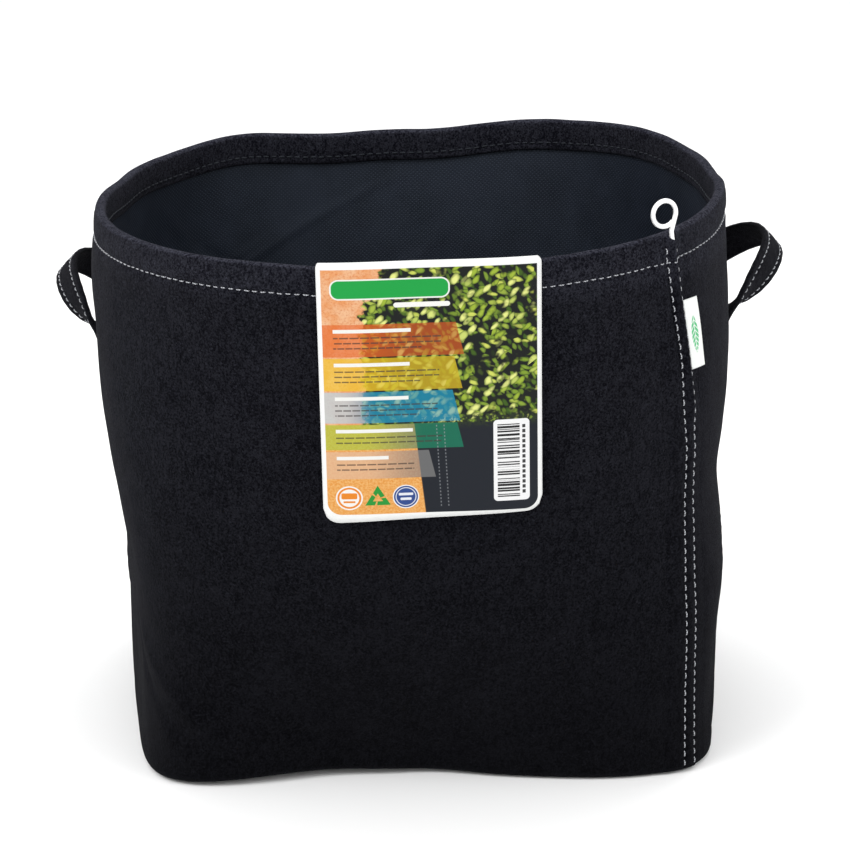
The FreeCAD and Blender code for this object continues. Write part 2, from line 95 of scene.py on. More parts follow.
def bump(value, middle, reach):
    return np.exp(-((np.asarray(value, float) - middle) / reach) ** 2)


def angle_gap(angle, other):
    return (np.asarray(angle, float) - other + 180.0) % 360.0 - 180.0


def superellipse(angle, half_width, half_depth, squareness):
    turned = np.radians(angle)
    across = np.abs(np.cos(turned) / half_width) ** squareness
    along = np.abs(np.sin(turned) / half_depth) ** squareness
    return (across + along) ** (-1.0 / squareness)


def rim_height(angle):
    angle = np.asarray(angle, float)
    waves = sum(size * np.cos(np.radians(count * angle - phase)) for size, count, phase in RIM_WAVES)
    dips = sum(size * bump(angle_gap(angle, at), 0.0, DIP_REACH) for at, size in RIM_DIPS)
    return HEIGHT + waves + dips


def wave_field(waves, angle, height):
    """Sum of level waves that close around the bag: turns, waves per mm up, phase, mm."""
    total = 0.0
    for turns, rise, phase, size in waves:
        total = total + size * np.sin(np.radians(angle) * turns + height * rise + phase)
    return total


BROAD_WAVES = [(int(rng.randint(3, 9)) * rng.choice([-1, 1]), rng.uniform(0.008, 0.035), rng.uniform(0, 6.28),
                rng.uniform(0.15, 0.42)) for _ in range(9)]
FINE_WAVES = [(int(rng.randint(14, 60)) * rng.choice([-1, 1]), rng.uniform(0.03, 0.16), rng.uniform(0, 6.28),
               rng.uniform(0.02, 0.07)) for _ in range(18)]
# Creases left by folding the bag flat: angle, height, degrees per mm of slant, half length, width, mm.
CREASES = [
    (-9.0, 150.0, 0.35, 34.0, 3.2, -1.5), (-14.0, 128.0, 0.5, 30.0, 4.0, 1.1),
    (-30.0, 34.0, 0.12, 38.0, 5.0, 1.3), (-26.0, 40.0, 0.10, 40.0, 3.6, -1.4),
    (-150.0, 58.0, -0.4, 34.0, 5.0, -1.5), (-138.0, 44.0, -0.35, 34.0, 5.0, 1.2),
    (-118.0, 26.0, -1.2, 26.0, 5.0, -0.9), (-64.0, 30.0, 1.0, 26.0, 5.0, 0.9),
    (40.0, 90.0, 0.2, 60.0, 5.0, -1.4), (95.0, 60.0, 0.9, 40.0, 7.0, 1.3),
    (140.0, 110.0, -0.3, 55.0, 5.0, -1.4), (172.0, 70.0, 0.4, 40.0, 5.0, 1.3),
    (70.0, 170.0, -0.5, 40.0, 6.0, -1.0), (120.0, 200.0, 0.6, 30.0, 6.0, 1.0),
]


def drape(angle, height):
    """How far the cloth of wall and lining together stands off its plain shape."""
    off = wave_field(BROAD_WAVES, angle, height)
    for at, middle, slant, half, width, size in CREASES:
        line = angle_gap(angle, at + slant * (height - middle)) * 2.8
        off = off + size * bump(line, 0.0, width) * bump(height, middle, half)
    calm = 1.0 - 0.92 * bump(angle_gap(angle, -87.0), 0.0, 24.0) ** 0.5 * smooth(height, 130.0, 160.0)
    for at in [angle for ends in HANDLES.values() for angle in ends[:2]]:
        calm = calm * (1.0 - 0.85 * bump(angle_gap(angle, at), 0.0, 8.0) * bump(height, 208.0, 30.0))
    seam = seam_angle(height)
    calm = calm * (1.0 - 0.8 * bump(angle_gap(angle, seam), 0.0, 6.0))
    edge = 1.0 - 0.7 * smooth(np.asarray(height, float), 262.0, 280.0)
    foot = smooth(height, -4.0, 22.0)
    return off * calm * edge * foot


def wall_xy(angle, height):
    angle, height = np.broadcast_arrays(np.asarray(angle, float), np.asarray(height, float))
    share = np.minimum(height / HEIGHT, 1.06)
    radius = superellipse(angle, *BASE) * (1.0 - share) + superellipse(angle, *RIM) * share
    for at, middle, reach_angle, reach_height, swell in SWELLS:
        radius = radius + swell * np.exp(-(angle_gap(angle, at) / reach_angle) ** 2
                                         - ((height - middle) / reach_height) ** 2)
    turned = np.radians(angle + BASE_TWIST * (1.0 - share))
    return (RIM_CENTRE[0] * share + radius * np.cos(turned), RIM_CENTRE[1] * share + radius * np.sin(turned))


def surface(angle, height, off=0.0, draped=True):
    """Points off mm outside the outer face, as an array with x, y, z last."""
    angle, height, off = np.broadcast_arrays(np.asarray(angle, float), np.asarray(height, float),
                                             np.asarray(off, float))
    x, y = wall_xy(angle, height)
    x1, y1 = wall_xy(angle + 0.5, height)
    x0, y0 = wall_xy(angle - 0.5, height)
    length = np.hypot(x1 - x0, y1 - y0)
    nx, ny = (y1 - y0) / length, -(x1 - x0) / length
    if draped:
        off = off + drape(angle, height)
    return np.stack([x + nx * off, y + ny * off, height], axis=-1)


def foot_lift(angles):
    return 2.3 * bump(angle_gap(angles, -108.0), 0.0, 24.0) + 1.6 * bump(angle_gap(angles, -124.0), 0.0, 13.0)


def lift_foot(row, angles):
    """Raise the bottom edge of the front, where the foot of the wall does not quite reach the ground."""
    low = 1.0 - smooth(row[:, 2], 0.0, 26.0)
    row[:, 2] += foot_lift(angles) * low
    return row


def seam_angle(height):
    """The seam's angle: two bends, near the foot and near the rim."""
    height = np.asarray(height, float)
    turn = np.clip((height - SEAM_TURN[0]) / (SEAM_TURN[1] - SEAM_TURN[0]), 0.0, 1.0)
    foot = np.clip((height - SEAM_FOOT_TURN[0]) / (SEAM_FOOT_TURN[1] - SEAM_FOOT_TURN[0]), 0.0, 1.0)
    low = SEAM_FOOT_ANGLE + (SEAM_LOW_ANGLE - SEAM_FOOT_ANGLE) * foot
    return low + (SEAM_TOP_ANGLE - SEAM_LOW_ANGLE) * turn


def mm_per_degree(angle, height):
    x1, y1 = wall_xy(np.asarray(angle, float) + 1.0, height)
    x0, y0 = wall_xy(np.asarray(angle, float) - 1.0, height)
    return np.hypot(x1 - x0, y1 - y0) / 2.0


def unit(vectors):
    return vectors / np.maximum(np.linalg.norm(vectors, axis=-1, keepdims=True), 1e-9)


def sine_cosine(degrees):
    return math.sin(math.radians(degrees)), math.cos(math.radians(degrees))


def running_length(points, closed=False):
    """Length along the points up to each of them; closed adds the way back to the first."""
    if closed:
        points = np.concatenate([points, points[:1]])
    return np.concatenate([[0.0], np.cumsum(np.linalg.norm(np.diff(points, axis=0), axis=1))])


# ---- meshes ----
def make_object(name, points, faces, uvs=None, material=None, slot=None, smooth_shading=True):
    """Mesh object from points in mm. uvs holds one (u, v) for every corner of every face."""
    mesh = bpy.data.meshes.new(name)
    mesh.from_pydata((np.asarray(points, float) * MM).tolist(), [], faces)
    if uvs is not None:
        layer = mesh.uv_layers.new(name="UVMap")
        layer.data.foreach_set("uv", np.asarray(uvs, np.float32).reshape(-1))
    mesh.validate()
    mesh.update()
    if smooth_shading:
        mesh.polygons.foreach_set("use_smooth", [True] * len(mesh.polygons))
    made = bpy.data.objects.new(name, mesh)
    bpy.context.scene.collection.objects.link(made)
    if material is not None:
        made.data.materials.append(material)
    return made


def turned_out(points, faces, uvs):
    """Faces and uvs of a closed mesh of triangles and quads, turned if they face inwards."""
    a, b, c, d = (points[[face[k] for face in faces]] for k in (0, 1, 2, -1))
    volume = np.einsum("ij,ij->", a, np.cross(b, c)) + np.einsum("ij,ij->", a, np.cross(c, d))
    if volume >= 0:
        return faces, uvs
    turned, start = [], 0
    for face in faces:
        turned += uvs[start:start + len(face)][::-1]
        start += len(face)
    return [face[::-1] for face in faces], turned


def ring_grid(name, rows, profile, material, slot):
    """Mesh closed both ways: rows of points around the bag, profile the running length of each row."""
    points = np.concatenate(rows)
    count, around = len(rows), len(rows[0])
    u = running_length(rows[count // 3], closed=True) * MM
    v = np.append(np.asarray(profile), profile[-1] + (profile[-1] - profile[-2])) * MM
    i, j = np.meshgrid(np.arange(count), np.arange(around), indexing="ij")
    i, j = i.ravel(), j.ravel()
    i2, j2 = (i + 1) % count, (j + 1) % around
    faces = np.stack([i * around + j, i * around + j2, i2 * around + j2, i2 * around + j], axis=1)
    uvs = np.stack([np.stack([u[j], v[i]], 1), np.stack([u[j + 1], v[i]], 1),
                    np.stack([u[j + 1], v[i + 1]], 1), np.stack([u[j], v[i + 1]], 1)], axis=1)
    corner = points[faces]
    volume = np.einsum("ij,ij->", corner[:, 0], np.cross(corner[:, 1], corner[:, 2])) \
        + np.einsum("ij,ij->", corner[:, 0], np.cross(corner[:, 2], corner[:, 3]))
    if volume < 0:
        faces, uvs = faces[:, ::-1], uvs[:, ::-1]
    return make_object(name, points, faces.tolist(), uvs, material, slot)


def sweep_data(sections):
    """Points, faces and uvs of a closed tube through sections (stations, corners, 3) with closed ends."""
    sections = np.asarray(sections, float)
    stations, corners = sections.shape[:2]
    points = sections.reshape(-1, 3)
    ends = np.stack([sections[0].mean(0), sections[-1].mean(0)])
    points = np.concatenate([points, ends])
    long = running_length(sections.mean(1)) * MM
    girth = running_length(sections[stations // 2], closed=True) * MM
    faces, uvs = [], []
    for s in range(stations - 1):
        for c in range(corners):
            d = (c + 1) % corners
            faces.append([s * corners + c, s * corners + d, (s + 1) * corners + d, (s + 1) * corners + c])
            uvs += [(girth[c], long[s]), (girth[c + 1], long[s])]
            uvs += [(girth[c + 1], long[s + 1]), (girth[c], long[s + 1])]
    first, last, base = stations * corners, stations * corners + 1, (stations - 1) * corners
    for c in range(corners):
        d = (c + 1) % corners
        faces.append([first, d, c])
        uvs += [(girth[c], long[0])] * 3
        faces.append([last, base + c, base + d])
        uvs += [(girth[c], long[-1])] * 3
    return points, *turned_out(points, faces, uvs)


def join_parts(parts):
    """One set of points, faces and uvs from several."""
    points, faces, uvs, start = [], [], [], 0
    for part_points, part_faces, part_uvs in parts:
        points.append(part_points)
        faces += [[k + start for k in face] for face in part_faces]
        uvs += part_uvs
        start += len(part_points)
    return np.concatenate(points), faces, uvs


def swept_object(name, parts, material, slot):
    points, faces, uvs = join_parts(parts)
    return make_object(name, points, faces, uvs, material, slot)


def stitch_parts(path, facing, pitch, gap, radius, lift=0.35, sides=7, steps=7, start=0.0):
    """One small thread loop after another along path (points in mm): each dives into the cloth at
    both ends. facing holds the cloth's outward direction at every point."""
    path, facing = np.asarray(path, float), unit(np.asarray(facing, float))
    length = running_length(path)
    parts = []
    at = start
    while at + pitch - gap < length[-1]:
        long = (pitch - gap) * rng.uniform(0.93, 1.05)
        shares = np.linspace(0.0, 1.0, steps)
        where = at + long * shares
        line = np.stack([np.interp(where, length, path[:, k]) for k in range(3)], axis=1)
        out = unit(np.stack([np.interp(where, length, facing[:, k]) for k in range(3)], axis=1))
        height = lift * np.sin(np.pi * shares) ** 0.55 - 0.5 * (1 - np.sin(np.pi * shares) ** 0.5)
        line = line + out * height[:, None]
        heading = unit(np.gradient(line, axis=0))
        side = unit(np.cross(heading, out))
        aside, slant = rng.uniform(-0.12, 0.12), rng.uniform(-0.12, 0.12)
        line = line + side * (aside + slant * (shares[:, None] - 0.5) * 2)
        up = np.cross(side, heading)
        turn = np.linspace(0, 2 * np.pi, sides, endpoint=False)
        thick = radius * (0.55 + 0.45 * np.sin(np.pi * shares) ** 0.4)
        flat = side[:, None, :] * np.cos(turn)[None, :, None] * 1.12
        high = up[:, None, :] * np.sin(turn)[None, :, None] * 0.85
        parts.append(sweep_data(line[:, None, :] + thick[:, None, None] * (flat + high)))
        at += pitch
    return parts


# ---- materials ----
class Value:
    """A number in a material's graph, so that sums of such numbers read as sums."""

    def __init__(self, graph, socket):
        self.graph, self.socket = graph, socket

    def __add__(self, other):
        return self.graph.math("ADD", self, other)

    def __sub__(self, other):
        return self.graph.math("SUBTRACT", self, other)

    def __rsub__(self, other):
        return self.graph.math("SUBTRACT", other, self)

    def __mul__(self, other):
        return self.graph.math("MULTIPLY", self, other)

    def __truediv__(self, other):
        return self.graph.math("DIVIDE", self, other)

    def __abs__(self):
        return self.graph.math("ABSOLUTE", self)

    __radd__, __rmul__ = __add__, __mul__


class Graph:
    """Small helper for building one procedural material."""

    def __init__(self, name):
        self.material = bpy.data.materials.new(name)
        self.material.use_nodes = True
        self.tree = self.material.node_tree
        self.shader = self.tree.nodes["Principled BSDF"]
        self.places = {}

    def node(self, kind, **settings):
        made = self.tree.nodes.new(kind)
        for key, value in settings.items():
            setattr(made, key, value)
        return made

    def feed(self, socket, value):
        """Link another node's output, or set a constant; a colour is three numbers."""
        if isinstance(value, Value):
            value = value.socket
        if isinstance(value, bpy.types.NodeSocket):
            self.tree.links.new(value, socket)
        elif isinstance(value, tuple):
            socket.default_value = (*value, 1.0) if socket.type == "RGBA" else value
        else:
            socket.default_value = value

    def place(self, kind="Object"):
        if kind not in self.places:
            self.places[kind] = self.node("ShaderNodeTexCoord").outputs[kind]
        return self.places[kind]

    def split(self, vector):
        made = self.node("ShaderNodeSeparateXYZ")
        self.feed(made.inputs[0], vector)
        return [Value(self, socket) for socket in made.outputs]

    def math(self, operation, a, b=0.0, clamp=False):
        made = self.node("ShaderNodeMath", operation=operation, use_clamp=clamp)
        self.feed(made.inputs[0], a)
        self.feed(made.inputs[1], b)
        return Value(self, made.outputs[0])

    def noise(self, scale, detail=3.0, rough=0.55, at=None, distortion=0.0):
        made = self.node("ShaderNodeTexNoise")
        self.feed(made.inputs["Vector"], self.place() if at is None else at)
        made.inputs["Scale"].default_value = scale
        made.inputs["Detail"].default_value = detail
        made.inputs["Roughness"].default_value = rough
        made.inputs["Distortion"].default_value = distortion
        return Value(self, made.outputs["Fac"])

    def stretch(self, vector, scale, turn=(0, 0, 0)):
        made = self.node("ShaderNodeMapping")
        self.feed(made.inputs["Vector"], vector)
        made.inputs["Scale"].default_value = scale
        made.inputs["Rotation"].default_value = turn
        return made.outputs[0]

    def scaled(self, colour, amount):
        made = self.node("ShaderNodeVectorMath", operation="SCALE")
        self.feed(made.inputs[0], colour)
        self.feed(made.inputs["Scale"], amount)
        return made.outputs[0]

    def ramp(self, value, low, high):
        made = self.node("ShaderNodeMapRange", clamp=True)
        made.interpolation_type = "SMOOTHSTEP"
        self.feed(made.inputs["Value"], value)
        made.inputs["From Min"].default_value = low
        made.inputs["From Max"].default_value = high
        return Value(self, made.outputs[0])

    def mix(self, share, a, b):
        made = self.node("ShaderNodeMix", data_type="RGBA")
        self.feed(made.inputs["Factor"], share)
        self.feed(made.inputs[6], a)
        self.feed(made.inputs[7], b)
        return made.outputs[2]

    def bump(self, height, strength, distance):
        made = self.node("ShaderNodeBump")
        self.feed(made.inputs["Height"], height)
        made.inputs["Strength"].default_value = strength
        made.inputs["Distance"].default_value = distance
        return made.outputs[0]

    def finish(self, colour, roughness, normal=None, **fixed):
        self.feed(self.shader.inputs["Base Color"], colour)
        self.feed(self.shader.inputs["Roughness"], roughness)
        if normal is not None:
            self.feed(self.shader.inputs["Normal"], normal)
        for key, value in fixed.items():
            self.shader.inputs[key.replace("_", " ")].default_value = value
        return self.material


def felt_material(name, dark, light, fibre=1.0, sheen=0.03, painted_shading=False):
    """Needle felt: short fibres that lie in all directions, with a faint mottle. A shaded one has
    painted light and shade: lighter at the hem, a painted highlight on the upturned rim crest, darker towards
    the foot."""
    g = Graph(name)
    fibres = g.noise(980.0 * fibre, 3.0, 0.62)
    lying = g.noise(520.0 * fibre, 5.0, 0.7, g.stretch(g.place(), (1.0, 1.0, 0.45)), 1.6)
    tufts = g.noise(430.0 * fibre, 3.0, 0.65, g.stretch(g.place(), (1.0, 1.0, 0.5)), 0.8)
    mottle = g.noise(42.0, 3.0, 0.6)
    flecks = g.ramp(g.noise(760.0, 2.0, 0.5), 0.60, 0.72)
    share = fibres * 0.58 + mottle * 0.12 + tufts * 0.3
    colour = g.mix(g.ramp(share, 0.41, 0.60), dark, light)
    colour = g.mix(flecks * 0.5, colour, tuple((min(1.0, value * 2.2) for value in light)))
    if painted_shading:
        split = g.split(g.place())
        # Painted light and shade: darker towards the foot, lighter across the hem band.
        up = 0.3 + g.ramp(split[2], -0.04, 0.31) * 0.7
        up = up + g.ramp(split[2], 0.262, 0.274) * 0.62
        # Painted highlight where the rim's crest faces up.
        facing = g.split(g.node("ShaderNodeNewGeometry").outputs["Normal"])
        crest = g.ramp(facing[2], 0.25, 0.85) * g.ramp(split[2], 0.255, 0.27)
        up = up + crest * 1.6
        colour = g.scaled(colour, up)
    height = fibres * 0.6 + lying * 0.9
    normal = g.bump(height, 0.85, 0.0012)
    return g.finish(colour, 0.97, normal, Sheen_Weight=sheen, Sheen_Roughness=0.5,
                    Sheen_Tint=(0.55, 0.56, 0.64, 1.0), Specular_IOR_Level=0.03)


def spunbond_material():
    """Spunbond sheet with a staggered diamond emboss, its fibres slightly shiny."""
    g = Graph("spunbond_lining")
    split = g.split(g.place("UV"))
    across = g.math("COSINE", split[0] * (2 * math.pi / 0.0025))
    along = g.math("COSINE", split[1] * (2 * math.pi / 0.0022))
    dots = g.ramp(across * along, 0.25, 0.75)
    fibres = g.noise(1500.0, 3.0, 0.7, None, 1.2)
    cloud = g.noise(26.0, 3.0, 0.55)
    colour = g.mix(g.ramp(cloud, 0.35, 0.68), (0.0034, 0.0052, 0.0102), (0.0078, 0.0106, 0.0185))
    colour = g.mix(dots * 0.55, colour, (0.024, 0.031, 0.047))
    height = fibres * 0.4 - dots * 1.0
    normal = g.bump(height, 0.6, 0.00025)
    rough = 0.62 - dots * 0.22
    return g.finish(colour, rough, normal, Specular_IOR_Level=0.26, Specular_Tint=(0.80, 0.90, 1.0, 1.0))


def thread_material(name, colour, shade):
    g = Graph(name)
    split = g.split(g.place("UV"))
    twist = split[1] * 5200.0 + split[0] * 3000.0
    plies = g.math("SINE", twist)
    tone = g.ramp(plies, -0.9, 0.5)
    dirt = g.noise(240.0, 2.0, 0.5)
    base = g.mix(tone, shade, colour)
    base = g.mix(g.ramp(dirt, 0.45, 0.75) * 0.35, base, shade)
    return g.finish(base, 0.62, g.bump(plies, 0.5, 0.0001), Specular_IOR_Level=0.3)


def wire_material():
    g = Graph("galvanised_wire")
    spangle = g.noise(420.0, 3.0, 0.5)
    streak = g.noise(160.0, 4.0, 0.6, g.stretch(g.place(), (1.0, 1.0, 0.15)))
    colour = g.mix(g.ramp(spangle, 0.35, 0.7), (0.88, 0.88, 0.89), (0.97, 0.97, 0.97))
    rough = 0.3 + streak * 0.22
    return g.finish(colour, rough, g.bump(spangle, 0.15, 0.0001), Metallic=0.45)


FELT_DARK, FELT_LIGHT = (0.0014, 0.0014, 0.0028), (0.0122, 0.0126, 0.0170)
felt = felt_material("black_felt", FELT_DARK, FELT_LIGHT, painted_shading=True)
strap_felt = felt_material("strap_felt", (0.0022, 0.0022, 0.0034), (0.0100, 0.0100, 0.0125), 1.25, 0.04)
spunbond = spunbond_material()
white_thread = thread_material("white_thread", (0.46, 0.47, 0.50), (0.17, 0.175, 0.19))
dark_thread = thread_material("dark_thread", (0.016, 0.020, 0.028), (0.007, 0.009, 0.013))
wire = wire_material()

# ---- wall, lining and base ----
AROUND = 560
ring_angles = np.arange(AROUND) * 360.0 / AROUND


def rows_to_grid(name, entries, material, slot):
    """entries: (height array or number, mm outside the outer face)."""
    rows, profile, before = [], [0.0], None
    for height, off in entries:
        height = np.broadcast_to(np.asarray(height, float), ring_angles.shape)
        row = lift_foot(surface(ring_angles, height, off), ring_angles)
        rows.append(row)
        if before is not None:
            profile.append(profile[-1] + float(np.median(np.linalg.norm(row - before, axis=1))))
        before = row
    return ring_grid(name, rows, profile, material, slot)


def skin(angle, height):
    """Fine relief of the outer face: hem bulge, the groove the rim row pulls in, lumps of the felt."""
    below = rim_height(angle) - height
    off = -0.75 * bump(below, RIM_STITCH_DEPTH + 0.4, 1.5) + 0.45 * bump(below, 7.0, 4.5)
    pucker = np.sin(np.radians(angle) * 218.0)
    off = off + pucker * 0.16 * bump(below, RIM_STITCH_DEPTH + 3.0, 2.5)
    off = off - pucker * 0.12 * bump(below, RIM_STITCH_DEPTH - 3.0, 2.2)
    off = off + wave_field(FINE_WAVES, angle, height)
    from_seam = angle_gap(angle, seam_angle(height)) * 2.8
    off = off - 0.35 * bump(from_seam, 9.5, 1.8)
    return off * smooth(height, 0.0, 8.0)


def make_wall():
    rim = rim_height(ring_angles)
    entries = []
    for share in np.linspace(0.0, 1.0, 4):
        entries.append((FOOT_START + (11.8 - FOOT_START) * share, -FELT))
    entries += [(11.0, -2 * FELT - 0.1), (4.0, -2 * FELT - 0.1), (0.0, -2 * FELT - 0.1)]
    for turn in np.linspace(0.0, 90.0, 7):
        sine, cosine = sine_cosine(turn)
        entries.append((4.0 * (1 - cosine), -3.2 * (1 - sine)))
    for share in np.linspace(0.0, 1.0, 74)[1:]:
        height = 4.0 + (rim - 22.0 - 4.0) * share
        entries.append((height, skin(ring_angles, height)))
    for depth in np.linspace(21.0, 3.0, 19):
        entries.append((rim - depth, skin(ring_angles, rim - depth)))
    half = HEM_THICKNESS / 2
    for turn in np.linspace(0.0, 180.0, 13):
        sine, cosine = sine_cosine(turn)
        lump = wave_field(FINE_WAVES, ring_angles, rim) * 0.8 + 0.35 * cosine
        round_off = 2.6 * (1 - sine ** 0.9 if sine > 0 else 1.0)
        entries.append((rim - round_off + lump * 0.5, -half + half * cosine))
    for depth in np.linspace(4.2, HEM_DEPTH, 9):
        groove = 0.35 * bump(depth, RIM_STITCH_DEPTH, 1.4)
        entries.append((rim - depth, -HEM_THICKNESS + groove - 0.25 * bump(depth, 7.0, 4.0)))
    entries += [(rim - HEM_DEPTH - 0.5, -HEM_THICKNESS + 1.0), (rim - HEM_DEPTH, -FELT - 1.15),
                (rim - 4.6, -FELT - 1.15), (rim - 4.5, -FELT - 0.05), (rim - HEM_DEPTH, -FELT)]
    for share in np.linspace(0.0, 1.0, 38)[1:-1]:
        entries.append((rim - HEM_DEPTH + (FOOT_START - rim + HEM_DEPTH) * share, -FELT))
    return rows_to_grid("felt_wall", entries, felt, "black_felt")


def lining_creases(angle, height):
    """Soft slanting folds of the thin sheet, fading towards hem and floor."""
    off = 0.0
    for at, middle, slant, half, width, size in LINING_FOLDS:
        line = angle_gap(angle, at + slant * (height - middle)) * 2.9
        off = off - size * bump(line, 0.0, width) * bump(height, middle, half)
    loose = smooth(height, 14.0, 40.0) * (1.0 - smooth(rim_height(angle) - height, 34.0, 17.0))
    return off * loose


LINING_FOLDS = [(rng.uniform(0, 360), rng.uniform(70, 230), rng.uniform(-0.9, 0.9), rng.uniform(18, 55),
                 rng.uniform(2.5, 7.0), rng.uniform(0.5, 1.7)) for _ in range(42)]


def make_lining():
    rim = rim_height(ring_angles)
    near, far = FELT + 0.2, FELT + 1.0
    low_near, low_far = 3 * FELT + 0.6, 3 * FELT + 1.4
    entries = [(3.6, -low_near), (13.0, -low_near), (FOOT_START, -near - 0.2)]
    for share in np.linspace(0.0, 1.0, 38)[1:-1]:
        entries.append((FOOT_START + (rim - HEM_DEPTH - FOOT_START) * share, -near))
    entries += [(rim - HEM_DEPTH, -near), (rim - 5.5, -near), (rim - 5.5, -far), (rim - HEM_DEPTH, -far)]
    for share in np.linspace(1.0, 0.0, 96):
        height = 20.0 + (rim - HEM_DEPTH - 1.0 - 20.0) * share
        inset = far + (low_far - far) * smooth(height, 30.0, 16.0)
        ripple = wave_field(FINE_WAVES, ring_angles, height * 1.4) * 0.6
        entries.append((height, -inset + lining_creases(ring_angles, height) + np.minimum(ripple, 0.0)))
    entries += [(12.0, -low_far), (3.6, -low_far - 0.2)]
    return rows_to_grid("spunbond_sheet", entries, spunbond, "spunbond_lining")


def disc_object(name, rings, material, slot):
    """Closed disc-like mesh: rings as (height, mm outside the outer face, scale towards the middle)."""
    angles = np.arange(240) * 1.5
    points, faces = [], []
    for height, off, scale in rings:
        row = surface(angles, np.full(angles.shape, max(height, 0.0)), off, draped=False)
        row[:, 2] = height
        row[:, :2] *= scale
        sway = 0.35 * np.sin(row[:, 0] * 0.045 + 1.0) * np.sin(row[:, 1] * 0.05) * (1.0 - scale)
        row[:, 2] += np.where(height > 1.0, np.abs(sway), 0.0)
        row[:, 2] += foot_lift(angles) * scale ** 6 * (1.0 - smooth(height, 0.0, 26.0))
        points.append(row)
    count, around = len(rings), len(angles)
    for i in range(count - 1):
        for j in range(around):
            k = (j + 1) % around
            faces.append([i * around + j, i * around + k, (i + 1) * around + k, (i + 1) * around + j])
    points = np.concatenate(points + [np.array([[0, 0, rings[0][0]]]), np.array([[0, 0, rings[-1][0]]])])
    first, last = len(points) - 2, len(points) - 1
    for j in range(around):
        k = (j + 1) % around
        faces.append([first, k, j])
        faces.append([last, (count - 1) * around + j, (count - 1) * around + k])
    uvs = [(points[index][0] * MM, points[index][1] * MM) for face in faces for index in face]
    return make_object(name, points, *turned_out(points, faces, uvs), material, slot)


def make_base():
    outer, inner = -2 * FELT - 0.35, -3 * FELT - 0.35
    rings = [(0.0, outer - 2.0, share) for share in (0.12, 0.3, 0.5, 0.7, 0.85, 0.95, 1.0)]
    rings += [(0.5, outer - 0.5, 1.0), (1.6, outer, 1.0), (6.0, outer, 1.0), (10.2, outer, 1.0)]
    rings += [(11.0, outer - 0.5, 1.0)]
    rings += [(11.0, inner + 0.5, 1.0), (10.4, inner, 1.0), (5.0, inner, 1.0), (FELT + 0.6, inner, 1.0)]
    rings += [(FELT, inner - 1.0, share) for share in (1.0, 0.95, 0.85, 0.7, 0.5, 0.3, 0.12)]
    return disc_object("felt_base", rings, felt, "black_felt")


def make_base_lining():
    inset, low, high = -3 * FELT - 0.9, FELT + 0.15, FELT + 0.55
    rings = [(low, inset, share) for share in (0.12, 0.3, 0.5, 0.7, 0.85, 1.0)]
    rings += [(high, inset, share) for share in (1.0, 0.93, 0.85, 0.76, 0.66, 0.55, 0.44, 0.33, 0.22, 0.12)]
    return disc_object("spunbond_floor", rings, spunbond, "spunbond_lining")


wall = make_wall()
lining = make_lining()
base = make_base()
floor_sheet = make_base_lining()
for piece, nodes in ((wall, ["outer_wall"]), (lining, ["inner_lining"]),
                     (base, ["base_panel", "base_margin"]), (floor_sheet, ["base_lining"])):
    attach(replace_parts(piece, *nodes), "bag")


# ---- stitch rows around the bag ----
def lap_height(across, share_up):
    """Height of the lap over the wall across the seam, mm, left to right."""
    rise = 1.7 * smooth(across, LAP_LEFT, -5.5) + 0.45 * bump(across, -1.4, 2.4)
    channel = 2.65 * bump(across, 0.0, 2.5) * share_up
    grooves = -0.55 * sum(bump(across, row, 0.9) for row in LAP_ROWS)
    edge = -1.7 * smooth(across, 3.1, 4.0)
    return rise + channel + grooves + edge + 0.1 - 0.35 * (1.0 - smooth(across, LAP_LEFT, -12.5))


def ring_path(depth, off, over_lap=False, from_base=False):
    angles = np.linspace(SEAM_TOP_ANGLE - 10.0, SEAM_TOP_ANGLE + 350.0, 1600)
    height = np.full(angles.shape, depth) if from_base else rim_height(angles) - depth
    if over_lap:
        across = angle_gap(angles, seam_angle(height)) * mm_per_degree(angles, height)
        on_lap = smooth(across, LAP_LEFT, -14.0) * (1.0 - smooth(across, 2.0, 9.5))
        off = off + np.maximum(lap_height(np.minimum(across, 2.8), 1.0), 0.0) * on_lap
    near = surface(angles, height, off)
    far = surface(angles, height, off + 1.0)
    return near, far - near


def ring_stitches(name, node, depth, off, size, thread, flip=1.0, lift=0.35, **spread):
    """A row around the bag; size holds pitch, gap and thread radius, thread its material and slot."""
    path, facing = ring_path(depth, off, **spread)
    piece = swept_object(name, stitch_parts(path, facing * flip, *size, lift), *thread)
    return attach(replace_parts(piece, node), "bag")


rim_row = ring_stitches("rim_stitches", "rim_stitching", RIM_STITCH_DEPTH + 0.4, -0.55,
                        (4.2, 1.15, 0.28), (white_thread, "white_thread"), over_lap=True)
bobbin_row = ring_stitches("rim_bobbin_stitches", "rim_bobbin_thread", RIM_STITCH_DEPTH - 0.4,
                           -HEM_THICKNESS + 0.3, (4.9, 1.2, 0.42), (dark_thread, "dark_thread"), flip=-1.0)
ring_stitches("base_seam_stitches", "base_seam_stitching", 6.0, -3 * FELT - 0.35,
              (5.0, 1.0, 0.20), (white_thread, "white_thread"), flip=-1.0, lift=0.1, from_base=True)


# ---- upright seam: lapped strip with two rows ----
def lap_surface(across, height):
    """Points and outward directions on the lap, across mm from the shaft's line."""
    angle = seam_angle(height)
    wide = mm_per_degree(angle, height)
    top = float(rim_height(SEAM_TOP_ANGLE)) - 0.4
    ends = smooth(height, 0.0, 4.0) * (1.0 - 0.75 * smooth(height, top - 3.0, top))
    at = angle + across / wide
    off = lap_height(across, smooth(height, 185.0, 205.0)) * ends + 0.05 + skin(at, height) * 0.6
    return surface(at, height, off), surface(at, height, off + 1.0) - surface(at, height, off)


